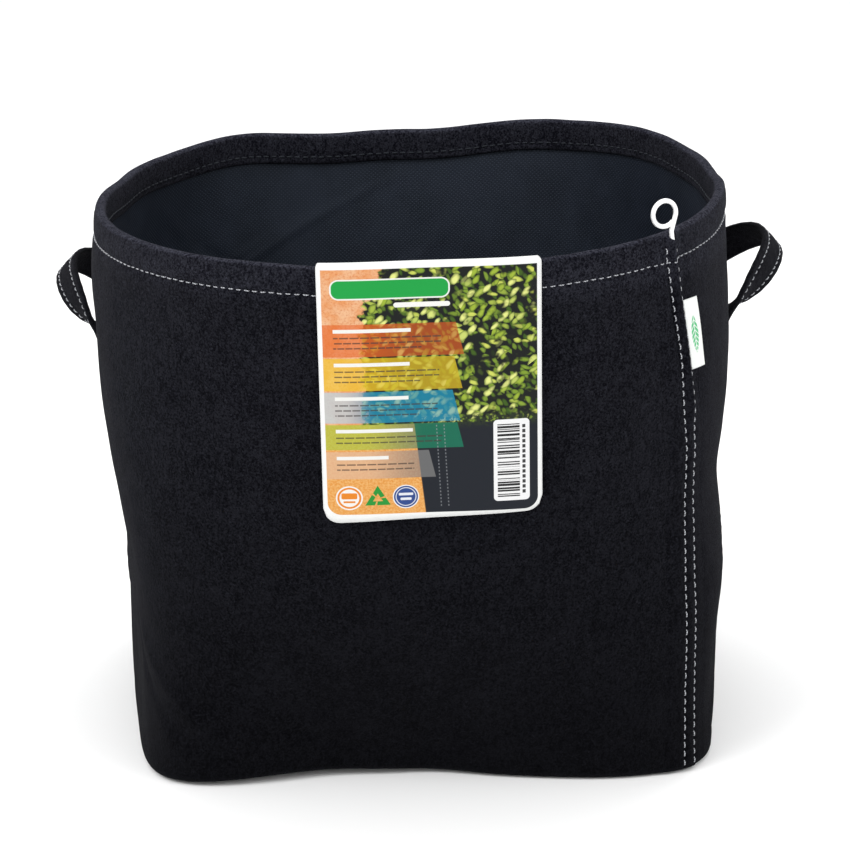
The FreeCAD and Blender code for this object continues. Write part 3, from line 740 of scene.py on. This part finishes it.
def make_lap():
    top = float(rim_height(SEAM_TOP_ANGLE)) - 0.4
    heights = np.linspace(1.2, top, 150)
    across = np.concatenate([np.linspace(LAP_LEFT, 2.9, 43), np.linspace(3.1, 4.1, 7)])
    sections = []
    for height in heights:
        wobble = 0.25 * math.sin(height * 0.11) + 0.18 * math.sin(height * 0.043 + 1.0)
        at = across + wobble * 0.4 * smooth(across, 2.0, 3.4)
        row, _ = lap_surface(at, np.full(at.shape, height))
        angle = seam_angle(height) + at[::-1][::6] / mm_per_degree(seam_angle(height), height)
        back = surface(angle, np.full(angle.shape, height), -0.9)
        sections.append(np.concatenate([row, back]))
    return swept_object("seam_lap", [sweep_data(sections)], felt, "black_felt")


def seam_stitches(name, node, across):
    heights = np.linspace(2.5, float(rim_height(SEAM_TOP_ANGLE)) - 2.2, 700)
    closer = 0.0
    if across < 0:
        closer = 0.9 * (smooth(heights, 190.0, 235.0) - 0.4 * smooth(heights, 265.0, 285.0))
    path, facing = lap_surface(across + closer + 0.15 * np.sin(heights * 0.08 + across), heights)
    path = path + facing * 0.12
    rows = stitch_parts(path, facing, 5.0, 1.4, 0.34, 0.36, start=1.0)
    piece = swept_object(name, rows, white_thread, "white_thread")
    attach(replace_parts(piece, node), "bag")


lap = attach(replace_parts(make_lap(), "seam_sleeve"), "bag")
seam_stitches("seam_stitches_left", "seam_stitching_left", LAP_ROWS[0])
seam_stitches("seam_stitches_right", "seam_stitching_right", LAP_ROWS[1])


# ---- straps ----
def handle_frame(side):
    near_angle, far_angle, _, _ = HANDLES[side]
    ends = []
    for angle in (near_angle, far_angle):
        height = float(rim_height(angle)) - HANDLE_DEPTH
        ends.append(surface(angle, height, HANDLE_AXIS_OUT, draped=False))
    along = unit(ends[1] - ends[0])
    sign = 1.0 if ends[0][0] > 0 else -1.0
    out = np.array([sign, 0.0, 0.0]) - along * along[0] * sign
    up = np.array([0.0, 0.0, 1.0]) - along * along[2]
    return (ends[0] + ends[1]) / 2, unit(out), along, unit(up), float(np.linalg.norm(ends[1] - ends[0])) / 2


def strap_path(side):
    """Centre line and facing of the whole strap, from one sewn end over the loop to the other."""
    middle, out, along, up, half = handle_frame(side)
    near_angle, far_angle, reach, rise = HANDLES[side]
    line, facing = [], []
    turns = np.concatenate([[9.0], np.linspace(17.0, 163.0, 13), [171.0]])
    loop, loop_facing = [], []
    for turn in turns:
        sine, cosine = sine_cosine(turn)
        loop.append(middle + out * reach * sine - along * half * cosine + up * rise * sine)
        lift = -0.35 + 1.10 * sine
        loop_facing.append(out * 0.8 + up * lift - along * cosine * 0.9 * sine)
    for index, angle in enumerate((near_angle, far_angle)):
        top = float(rim_height(angle)) - HANDLE_DEPTH
        drops = (19.0, 14.0, 9.0, 5.0, 1.5)
        offs = (1.75, 1.75, 1.75, 1.9, 2.6)
        ends = [surface(angle, top - drop, off) for drop, off in zip(drops, offs)]
        normal = unit(surface(angle, top - 10.0, 1.0) - surface(angle, top - 10.0, 0.0))
        if index == 0:
            line += ends
            facing += [normal] * 5
            line += loop
            facing += loop_facing
        else:
            line += ends[::-1]
            facing += [normal] * 5
    return np.array(line), unit(np.array(facing))


def spline(points, count):
    """Smooth curve near the points: a cubic B-spline sampled evenly."""
    points = np.asarray(points, float)
    padded = np.concatenate([2 * points[:1] - points[1:2], points, 2 * points[-1:] - points[-2:-1]])
    spans = len(padded) - 3
    where = np.linspace(0, spans - 1e-6, count * 4)
    i = where.astype(int)
    t = (where - i)[:, None]
    p0, p1, p2, p3 = padded[i], padded[i + 1], padded[i + 2], padded[i + 3]
    fine = (p0 * (1 - t) ** 3 + p1 * (3 * t ** 3 - 6 * t ** 2 + 4)
            + p2 * (-3 * t ** 3 + 3 * t ** 2 + 3 * t + 1) + p3 * t ** 3) / 6.0
    length = running_length(fine[:, :3])
    even = np.linspace(0, length[-1], count)
    return np.stack([np.interp(even, length, fine[:, k]) for k in range(fine.shape[1])], axis=1)


def strap_frames(side, count=150):
    line, facing = strap_path(side)
    both = spline(np.concatenate([line, facing], axis=1), count)
    line, facing = both[:, :3], both[:, 3:]
    heading = unit(np.gradient(line, axis=0))
    facing = unit(facing - heading * np.sum(facing * heading, axis=1, keepdims=True))
    return line, facing, np.cross(heading, facing)


def strap_profile():
    """Closed outline of the strap: (across, through) in mm, with stitched grooves and rolled edges."""
    half, thick, rolled = STRAP_WIDTH / 2, STRAP_THICKNESS / 2, 1.2
    flat = half - rolled
    outline = []
    for across in np.linspace(-flat, flat, 19):
        groove = 0.38 * (bump(across, -STRAP_ROW, 0.9) + bump(across, STRAP_ROW, 0.9))
        outline.append((across, thick - groove + 0.25 * bump(across, 0.0, 3.2)))
    for turn in (60.0, 30.0, 0.0, -30.0, -60.0):
        sine, cosine = sine_cosine(turn)
        outline.append((flat + rolled * cosine, thick * sine))
    for across in np.linspace(flat, -flat, 15):
        groove = 0.25 * (bump(across, -STRAP_ROW, 0.9) + bump(across, STRAP_ROW, 0.9))
        outline.append((across, -thick + groove))
    for turn in (240.0, 210.0, 180.0, 150.0, 120.0):
        sine, cosine = sine_cosine(turn)
        outline.append((-flat + rolled * cosine, thick * sine))
    return np.array(outline)


def make_strap(side):
    line, facing, width = strap_frames(side)
    outline = strap_profile()
    far = np.linspace(0.0, 1.0, len(line))
    pinch = 1.0 - 0.07 * np.sin(np.pi * far) ** 6
    sections = line[:, None, :] + width[:, None, :] * (outline[None, :, :1] * pinch[:, None, None]) \
        + facing[:, None, :] * outline[None, :, 1:]
    wobble = 0.18 * np.sin(np.arange(len(line))[:, None] * 0.9 + outline[None, :, 0] * 0.8)
    sections = sections + facing[:, None, :] * wobble[..., None] * 0.5
    strap = swept_object("strap_" + side, [sweep_data(sections)], strap_felt, "strap_felt")
    rows = []
    for across in (-STRAP_ROW, STRAP_ROW):
        path = line + width * (across * pinch[:, None]) + facing * (STRAP_THICKNESS / 2 - 0.12)
        keep = slice(4, len(line) - 4)
        rows += stitch_parts(path[keep], facing[keep], 4.2, 1.3, 0.30, 0.34)
    stitches = swept_object("strap_%s_stitches" % side, rows, white_thread, "white_thread")
    tacks = []
    near_angle, far_angle, _, _ = HANDLES[side]
    for angle in (near_angle, far_angle):
        top = float(rim_height(angle)) - HANDLE_DEPTH
        wide = float(mm_per_degree(angle, top - 12.0))
        for drop in (10.0, 16.5):
            at = angle + np.linspace(-7.4, 7.4, 60) / wide
            height = np.full(at.shape, top - drop)
            path = surface(at, height, 3.15)
            facing_out = surface(at, height, 4.0) - path
            tacks += stitch_parts(path, facing_out, 3.4, 0.8, 0.36, 0.36)
    tack_rows = swept_object("strap_%s_tacks" % side, tacks, white_thread, "white_thread")
    middle, out, _, up, _ = handle_frame(side)
    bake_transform(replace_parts(strap, "handle_" + side, "handle_%s_ends" % side))
    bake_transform(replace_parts(stitches, "handle_%s_stitching" % side))
    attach(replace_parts(tack_rows, "handle_%s_tacks" % side), "bag")


make_strap("right")
make_strap("left")


# ---- woven tag ----
def tag_material():
    """White satin ribbon with a plain green leaf."""
    g = Graph("woven_label")
    split = g.split(g.place("UV"))
    u, v = split[0], split[1]
    warp = g.math("SINE", u * (2 * math.pi / 0.0004))
    weft = g.math("SINE", v * (2 * math.pi / 0.0005))
    weave = warp * weft
    x = u - 0.0062
    y = (v - 0.0175) / 0.0105
    inside = g.math("SUBTRACT", 1.0, y * y, clamp=True)
    half = inside * 0.003
    leaf = g.ramp(half - abs(x), 0.0, 0.00025)
    rib = g.ramp(0.00032 - abs(x), 0.0, 0.00015)
    slant = g.math("FRACT", (v + abs(x)) * 380.0)
    veins = g.ramp(0.16 - abs(slant - 0.5), 0.0, 0.08)
    cut = g.math("MAXIMUM", rib, veins)
    leaf = leaf * (1.0 - cut)
    cloth = g.mix(g.ramp(weave, -1.0, 1.0), (0.66, 0.68, 0.67), (0.83, 0.84, 0.82))
    colour = g.mix(leaf, cloth, (0.045, 0.42, 0.15))
    return g.finish(colour, 0.55, g.bump(weave, 0.35, 0.0001), Sheen_Weight=0.15, Specular_IOR_Level=0.4)


def make_tag():
    """Ribbon folded once: two layers with a rolled outer edge, sewn in at the left."""
    top = float(rim_height(SEAM_TOP_ANGLE)) - TAG_DEPTH
    heights = np.linspace(top - TAG_HEIGHT, top, 40)
    shares = np.linspace(0.0, 1.0, 22)
    left = 4.4
    points = []
    for height in heights:
        angle = seam_angle(height)
        wide = float(mm_per_degree(angle, height))
        up_share = (height - top + TAG_HEIGHT / 2) / TAG_HEIGHT
        curl = 0.5 + 0.7 * shares ** 2 + 0.35 * shares * math.sin(up_share * 5.0 + 0.6)
        fray = 0.06 * math.sin(height * 5.1)
        across = left + (TAG_WIDTH - 0.4) * shares
        at = angle + across / wide
        front = surface(at, np.full(at.shape, height), 1.25 + curl * 0.55 + 0.30)
        back = surface(at, np.full(at.shape, height), 1.25 + curl * 0.55 - 0.18)
        fold = surface(angle + (left + TAG_WIDTH + fray) / wide, height, 1.25 + curl[-1] * 0.55 + 0.06)
        points.append(np.concatenate([front, fold[None], back[::-1]]))
    points = np.array(points)
    rows, columns = points.shape[:2]
    flat = points.reshape(-1, 3)
    fold_back = (TAG_WIDTH * 2 + 0.6) - shares[::-1] * TAG_WIDTH
    ribbon = np.concatenate([shares * TAG_WIDTH, [TAG_WIDTH + 0.3], fold_back])
    rise = heights - heights[0]
    faces, uvs = [], []
    for i in range(rows - 1):
        for j in range(columns):
            k = (j + 1) % columns
            faces.append([i * columns + j, i * columns + k, (i + 1) * columns + k, (i + 1) * columns + j])
            next_u = ribbon[k] if k else ribbon[-1] + 0.4
            uvs += [(ribbon[j] * MM, rise[i] * MM), (next_u * MM, rise[i] * MM)]
            uvs += [(next_u * MM, rise[i + 1] * MM), (ribbon[j] * MM, rise[i + 1] * MM)]
    for row in (0, rows - 1):
        for j in range(len(shares)):
            a, b = row * columns + j, row * columns + columns - 1 - j
            if j + 1 < len(shares):
                c, d = row * columns + j + 1, row * columns + columns - 2 - j
                quad = [a, b, d, c] if row == 0 else [a, c, d, b]
            else:
                c = row * columns + len(shares)
                quad = [a, b, c] if row == 0 else [a, c, b]
            faces.append(quad)
            uvs += [(0.0, 0.0)] * len(quad)
    return make_object("woven_label", flat, *turned_out(flat, faces, uvs), tag_material(), "woven_label")


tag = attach(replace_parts(make_tag(), "woven_tag"), "tag")


# ---- hang card ----
def card_material():
    """Gloss print, laid out in card millimetres: u from the left, v down from the fold."""
    g = Graph("printed_card")
    split = g.split(g.place("UV"))
    u = split[0] * 1000.0
    v = split[1] * 1000.0

    def band(value, low, high, soft=0.12):
        rise = g.ramp(value, low - soft, low + soft)
        fall = g.ramp(value, high - soft, high + soft)
        return rise - fall

    def box(left, top, right, bottom, slant=0.0, soft=0.12):
        across = u if not slant else u + (v - top) * slant
        return band(across, left, right, soft) * band(v, top, bottom, soft)

    def rounded(left, top, right, bottom, radius, soft=0.12):
        cx, cy = (left + right) / 2, (top + bottom) / 2
        dx = g.math("MAXIMUM", abs(u - cx) - ((right - left) / 2 - radius), 0.0)
        dy = g.math("MAXIMUM", abs(v - cy) - ((bottom - top) / 2 - radius), 0.0)
        far = g.math("SQRT", dx * dx + dy * dy)
        return 1.0 - g.ramp(far, radius - soft, radius + soft)

    def disc(x, y, radius, soft=0.12):
        dx, dy = (u - x, v - y)
        far = g.math("SQRT", dx * dx + dy * dy)
        return 1.0 - g.ramp(far, radius - soft, radius + soft)

    def over(share, colour, below):
        return g.mix(share, below, colour)

    card_place = g.node("ShaderNodeCombineXYZ")
    g.feed(card_place.inputs[0], u)
    g.feed(card_place.inputs[1], v)
    place = card_place.outputs[0]

    # Leaves: two layers of pointed cells, lit from above, over near black.
    def leaves(scale, turn, light, middle, dark):
        bent = g.stretch(g.stretch(place, (1.0, 1.0, 1.0), (0, 0, turn)), (scale, scale * 0.52, 1.0))
        wave = g.node("ShaderNodeTexNoise")
        g.feed(wave.inputs["Vector"], bent)
        wave.inputs["Scale"].default_value = 0.7
        add = g.node("ShaderNodeVectorMath", operation="ADD")
        g.feed(add.inputs[0], bent)
        g.feed(add.inputs[1], wave.outputs["Color"])
        cells = g.node("ShaderNodeTexVoronoi", feature="F1", voronoi_dimensions="2D")
        g.feed(cells.inputs["Vector"], add.outputs[0])
        cells.inputs["Scale"].default_value = 1.0
        tone = g.node("ShaderNodeSeparateColor")
        g.feed(tone.inputs[0], cells.outputs["Color"])
        colour = g.mix(g.ramp(tone.outputs[0], 0.25, 0.8), middle, light)
        colour = g.mix(g.ramp(cells.outputs["Distance"], 0.14, 0.46), colour, dark)
        inside = 1.0 - g.ramp(cells.outputs["Distance"], 0.36, 0.42)
        return colour, inside * g.ramp(tone.outputs[1], 0.18, 0.3)

    deep, deep_mask = leaves(0.36, 0.5, (0.20, 0.31, 0.03), (0.05, 0.11, 0.01), (0.006, 0.010, 0.004))
    high, high_mask = leaves(0.27, -0.7, (0.80, 0.84, 0.26), (0.34, 0.46, 0.04), (0.05, 0.09, 0.01))
    side, side_mask = leaves(0.31, 1.25, (0.62, 0.68, 0.12), (0.22, 0.34, 0.03), (0.03, 0.06, 0.01))
    clumps = g.ramp(g.noise(0.075, 3.0, 0.6, place), 0.40, 0.50)
    foliage = over(deep_mask, deep, (0.006, 0.008, 0.007))
    foliage = over(side_mask * clumps, side, foliage)
    foliage = over(high_mask * clumps, high, foliage)

    # Terracotta ground of the left part.
    grain = g.noise(0.9, 3.0, 0.7, place)
    spread_tone = g.noise(0.10, 3.0, 0.6, place)
    ground = g.mix(g.ramp(spread_tone, 0.35, 0.65), (0.80, 0.34, 0.13), (0.86, 0.52, 0.30))
    ground = g.mix(g.ramp(grain, 0.45, 0.7) * 0.6, ground, (0.62, 0.15, 0.03))
    low_ground = g.mix(g.ramp(grain, 0.35, 0.65), (0.76, 0.30, 0.05), (0.85, 0.47, 0.16))
    ground = g.mix(band(v, 82.0, 140.0, 6.0), ground, low_ground)

    edge_wave = (g.noise(0.22, 4.0, 0.6, place) - 0.5) * 16.0
    right_of = g.ramp(u + edge_wave + g.ramp(v, 8.0, 22.0) * 9.0, 28.0, 30.0)
    picture = g.mix(right_of, ground, foliage)
    picture = over(box(30.0, 80.0, 110.0, 140.0, -0.10, 0.5), (0.010, 0.013, 0.020), picture)
    torn_edge = box(30.0, 76.0, 110.0, 82.0, 0.0, 1.6) * g.ramp(g.noise(0.5, 3.0, 0.6, place), 0.42, 0.55)
    picture = over(torn_edge, (0.02, 0.03, 0.015), picture)
    picture = over(box(-5.0, 80.0, 43.4, 140.0, -0.10, 0.3), low_ground, picture)

    # Five see-through bands with slanted right ends, each with a heading bar and ruled lines.
    bands = [
        (28.9, 45.2, 63.5, (0.74, 0.13, 0.01), (0.50, 0.09, 0.01)),
        (45.9, 62.4, 62.5, (0.82, 0.52, 0.01), (0.60, 0.42, 0.01)),
        (63.1, 79.0, 61.5, (0.45, 0.60, 0.66), (0.005, 0.28, 0.44)),
        (79.8, 92.8, 63.5, (0.36, 0.52, 0.04), (0.005, 0.20, 0.11)),
        (93.8, 108.0, 50.0, (0.72, 0.46, 0.30), (0.20, 0.20, 0.20)),
    ]
    for top, bottom, right_end, left_colour, right_colour in bands:
        fade = (10.0, 26.0) if left_colour[2] > 0.6 else (18.0, 48.0)
        colour = g.mix(g.ramp(u, *fade), left_colour, right_colour)
        leafy = g.mix(0.30, colour, picture)
        picture = over(box(-20.0, top, right_end, bottom, -0.22), leafy, picture)
        heading = box(7.0, top + 2.4, 7.0 + (right_end - 22.0) * 0.86, top + 4.2)
        picture = over(heading, (0.88, 0.88, 0.84), picture)
        for row in range(3 if bottom - top > 14.5 else 2):
            low = top + 6.4 + row * 2.6
            words = g.math("FRACT", (u + (row * 1.7 + top)) * (0.21 + 0.03 * row))
            dashes = g.ramp(words, 0.10, 0.16)
            line = box(7.0, low, right_end - 7.0 - 9.0 * (row == 2), low + 0.7, 0.0, 0.1) * dashes
            picture = over(line * 0.8, (0.05, 0.04, 0.035), picture)

    # Title plate, kept plain.
    picture = over(rounded(6.0, 6.4, 61.0, 16.6, 4.2), (0.88, 0.90, 0.86), picture)
    picture = over(rounded(6.7, 7.1, 60.3, 15.9, 3.4), (0.01, 0.36, 0.06), picture)
    picture = over(rounded(35.0, 18.4, 61.0, 20.8, 1.2), (0.90, 0.90, 0.86), picture)

    # Dotted seam on the dark cloth at the lower right.
    dots = g.ramp(g.math("FRACT", v * 0.55), 0.45, 0.55)
    for x in (53.5, 57.0):
        picture = over(box(x, 80.0, x + 0.5, 124.0, -0.04) * dots * 0.5, (0.35, 0.37, 0.4), picture)

    # Bar code block: level bars of several thicknesses.
    picture = over(rounded(80.2, 79.5, 97.0, 122.0, 2.0), (0.90, 0.90, 0.90), picture)
    stripes = None
    for pitch, width, shift in ((2.9, 0.42, 0.0), (4.3, 0.30, 1.1), (7.1, 0.22, 2.3)):
        part = g.math("FRACT", (v + shift) / pitch)
        part = g.math("LESS_THAN", part, width)
        stripes = part if stripes is None else abs(stripes - part)
    picture = over(box(82.0, 81.5, 92.4, 120.0, 0.0, 0.05) * stripes, (0.015, 0.015, 0.015), picture)
    digits = g.ramp(g.math("FRACT", v * 0.38), 0.28, 0.34)
    picture = over(box(93.6, 82.5, 95.1, 119.0, 0.0, 0.08) * digits, (0.05, 0.05, 0.05), picture)

    # Two round marks along the bottom.
    cream, orange = (0.90, 0.88, 0.84), (0.82, 0.25, 0.02)
    white_ink, navy, pale_blue = (0.90, 0.90, 0.90), (0.03, 0.07, 0.26), (0.80, 0.82, 0.88)
    for mark, ink in (
            (disc(12.3, 118.0, 6.3), cream),
            (disc(12.3, 118.0, 5.6), orange),
            (disc(12.3, 118.0, 4.6), cream),
            (rounded(8.6, 115.4, 16.0, 118.6, 0.7), orange),
            (rounded(9.5, 119.6, 15.1, 120.6, 0.3), orange),
            (disc(38.8, 118.0, 6.2), white_ink),
            (disc(38.8, 118.0, 5.7), navy),
            (disc(38.8, 118.0, 4.9) - disc(38.8, 118.0, 4.5), pale_blue),
            (rounded(35.4, 116.0, 42.2, 117.3, 0.4), pale_blue),
            (rounded(36.2, 118.5, 41.4, 119.8, 0.4), pale_blue)):
        picture = over(mark, ink, picture)
    # A three-sided loop between them.
    dx, dy = (u - 25.6, v - 118.6)
    sides = []
    for turn in (90.0, 210.0, 330.0):
        sine, cosine = sine_cosine(turn)
        sides.append(dx * cosine + dy * sine)
    reach = g.math("MAXIMUM", g.math("MAXIMUM", sides[0], sides[1]), sides[2])
    loop = g.ramp(reach, 1.25, 1.45) - g.ramp(reach, 3.35, 3.55)
    angle = g.math("ARCTAN2", dy, dx)
    breaks = abs(g.math("FRACT", angle * (3.0 / (2 * math.pi)) + 0.12) - 0.5)
    loop = loop * (1.0 - g.ramp(breaks, 0.42, 0.45))
    picture = over(loop, (0.02, 0.30, 0.04), picture)

    # White border, then the plain back of the card where no print is.
    inner = rounded(2.1, 1.6, CARD_WIDTH - 2.1, CARD_DROP_FRONT - 3.2, 6.5)
    flat_top = box(2.1, 1.6, CARD_WIDTH - 2.1, 20.0)
    printed = g.math("MAXIMUM", inner, flat_top)
    mottle = g.noise(0.25, 2.0, 0.5, place)
    white = g.mix(mottle, (0.66, 0.67, 0.66), (0.70, 0.70, 0.69))
    colour = g.mix(printed, white, g.scaled(picture, INK))
    normal = g.bump(g.noise(0.35, 2.0, 0.5, place), 0.08, 0.0003)
    return g.finish(colour, 0.45, normal, Specular_IOR_Level=0.16)


def card_start(angle):
    """Point on the wall's outline at card level, plain shape, with its outward direction."""
    x, y = wall_xy(angle, HEIGHT)
    x1, y1 = wall_xy(angle + 0.5, HEIGHT)
    x0, y0 = wall_xy(angle - 0.5, HEIGHT)
    length = math.hypot(float(x1 - x0), float(y1 - y0))
    outward = np.array([float(y1 - y0), -float(x1 - x0), 0.0]) / length
    return np.array([float(x), float(y), HEIGHT]), outward


def make_card():
    """One folded sheet: front panel with rounded lower corners, bend over the rim, back panel."""
    axis = unit(np.array([-CARD_TILT, -CARD_LEAN, 1.0]))
    left_rim, right_rim = (float(rim_height(angle)) for angle in CARD_ANGLES)
    clear = max(float(rim_height(a)) - left_rim - (right_rim - left_rim) * k / 8.0
                for k, a in enumerate(np.linspace(*CARD_ANGLES, 9))) + 0.5
    thick = 0.5
    columns = 70
    angles = np.linspace(*CARD_ANGLES, columns)
    starts, normals = [], []
    for share, angle in zip(np.linspace(0.0, 1.0, columns), angles):
        start, normal = card_start(angle)
        crest = left_rim + (right_rim - left_rim) * share + clear
        starts.append(start + axis * ((crest - start[2]) / axis[2]))
        normals.append(normal)
    starts, normals = np.array(starts), np.array(normals)
    run = running_length(starts)
    width = run[-1]
    corner = 8.0

    def drop_limit(along, drop):
        from_edge = np.minimum(along, width - along)
        inside = np.clip(corner - from_edge, 0.0, corner)
        return drop - corner + np.sqrt(np.maximum(corner ** 2 - inside ** 2, 0.0))

    front_steps = 46
    bend = 1.3
    gap_front, gap_back = CARD_GAP, -HEM_THICKNESS - CARD_BACK_GAP
    rows_out, rows_in, v_out = [], [], []
    bow = 1.1 * np.sin(np.pi * run / width)          # the panel stands off a little in its middle
    for step in range(front_steps + 1):
        share = 1.0 - step / front_steps
        drop = share * (drop_limit(run, CARD_DROP_FRONT) - 3.4 * run / width)
        lean_out = bow * np.sin(np.pi * np.clip(share, 0, 1)) + 0.9 * share ** 2
        for store, off in ((rows_out, gap_front + thick), (rows_in, gap_front)):
            store.append(starts - axis * (drop[:, None] + bend) + normals * (off + lean_out)[:, None])
        v_out.append(drop + bend)
    for turn in np.linspace(15.0, 165.0, 9):
        sine, cosine = sine_cosine(turn)
        for store, extra in ((rows_out, thick), (rows_in, 0.0)):
            half = (gap_front - gap_back) / 2 + extra
            off = (gap_front + gap_back) / 2 + half * cosine
            store.append(starts + axis * ((bend + extra) * sine ** 0.7 - bend) + normals * off)
        v_out.append(np.full(columns, -turn * 0.05))
    back_steps = 22
    for step in range(back_steps + 1):
        share = step / back_steps
        drop = share * drop_limit(run, CARD_DROP_BACK)
        for store, off in ((rows_out, gap_back - thick), (rows_in, gap_back)):
            store.append(starts - axis * (drop[:, None] + bend) + normals * (off - 0.5 * share))
        v_out.append(np.full(columns, -10.0) - drop)
    outer, inner = np.array(rows_out), np.array(rows_in)
    rows = len(outer)
    points = np.concatenate([outer.reshape(-1, 3), inner.reshape(-1, 3)])
    scale = CARD_WIDTH / width
    faces, uvs = [], []
    shift = rows * columns

    def uv(i, j):
        return (run[j] * scale * MM, float(v_out[i][j]) * MM)

    def inner_uv(i, j):
        return (run[j] * MM, (-120.0 - i) * MM)

    for i in range(rows - 1):
        for j in range(columns - 1):
            a, d = i * columns + j, (i + 1) * columns + j
            b, c = a + 1, d + 1
            faces.append([a, b, c, d])
            uvs += [uv(i, j), uv(i, j + 1), uv(i + 1, j + 1), uv(i + 1, j)]
            faces.append([a + shift, d + shift, c + shift, b + shift])
            uvs += [inner_uv(i, j), inner_uv(i + 1, j), inner_uv(i + 1, j + 1), inner_uv(i, j + 1)]
    border = [(0, j) for j in range(columns)] + [(i, columns - 1) for i in range(1, rows)] \
        + [(rows - 1, j) for j in range(columns - 2, -1, -1)] + [(i, 0) for i in range(rows - 2, 0, -1)]
    for k, (i, j) in enumerate(border):
        i2, j2 = border[(k + 1) % len(border)]
        a, b = i * columns + j, i2 * columns + j2
        faces.append([b, a, a + shift, b + shift])
        uvs += [(-0.01, -0.13)] * 4
    return make_object("folded_card", points, *turned_out(points, faces, uvs), card_material(),
                       "printed_card")


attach(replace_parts(make_card(), "hang_card"), "card")

# ---- wire hook: the CAD shape is right, so it stays and gets its material ----
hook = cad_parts["hook_wire"]
hook.data.materials.clear()
hook.data.materials.append(wire)
hook.data.polygons.foreach_set("use_smooth", [True] * len(hook.data.polygons))

# ---- girth of the wall at 150 mm up, in metres ----
girth = float(running_length(surface(ring_angles, 150.0), closed=True)[-1]) * MM

# ---- floor, light and camera ----
FLOOR_REACH, FLOOR_LEVEL = 9, -0.0006
floor_mesh = bpy.data.meshes.new("floor")
corners = [(x * FLOOR_REACH, y * FLOOR_REACH, FLOOR_LEVEL) for x, y in ((-1, -1), (1, -1), (1, 1), (-1, 1))]
floor_mesh.from_pydata(corners, [], [(0, 1, 2, 3)])
floor = bpy.data.objects.new("floor", floor_mesh)
bpy.context.scene.collection.objects.link(floor)
floor_graph = Graph("pale_floor")
floor.data.materials.append(floor_graph.finish(
    floor_graph.mix(floor_graph.noise(3.0), (0.94, 0.94, 0.94), (0.96, 0.96, 0.96)), 0.9))

world = bpy.data.worlds.new("studio")
bpy.context.scene.world = world
world.use_nodes = True
world.node_tree.nodes["Background"].inputs["Color"].default_value = (1.0, 1.0, 1.0, 1.0)
world.node_tree.nodes["Background"].inputs["Strength"].default_value = 1.0


def soft_light(name, place, target, size, watts):
    data = bpy.data.lights.new(name, "AREA")
    data.shape, data.size, data.size_y, data.energy = "RECTANGLE", size[0], size[1], watts
    lamp = bpy.data.objects.new(name, data)
    lamp.location = place
    lamp.rotation_euler = (Vector(target) - Vector(place)).to_track_quat("-Z", "Y").to_euler()
    bpy.context.scene.collection.objects.link(lamp)


soft_light("key", (-1.3, -1.1, 1.9), (0, 0, 0.15), (1.2, 1.2), 26.0)
soft_light("fill", (1.6, -0.9, 1.3), (0, 0, 0.15), (1.2, 1.2), 10.0)
soft_light("top", (0.1, 0.7, 2.1), (0, 0, 0.2), (1.6, 1.0), 16.0)

LENS, LOOKS_DOWN = 110.84, 17.11    # mm on a 36 mm sensor; degrees
camera_data = bpy.data.cameras.new("camera")
camera = bpy.data.objects.new("camera", camera_data)
bpy.context.scene.collection.objects.link(camera)
bpy.context.scene.camera = camera
camera_data.sensor_width = 36.0
camera_data.lens = LENS
camera_data.shift_x, camera_data.shift_y = 0.0161, -0.0030
camera.location = (-0.00265, -1.3632, 0.5763)
camera.rotation_euler = (math.radians(90.0 - LOOKS_DOWN), 0.0, 0.0)
bpy.context.scene.view_settings.view_transform = "Standard"
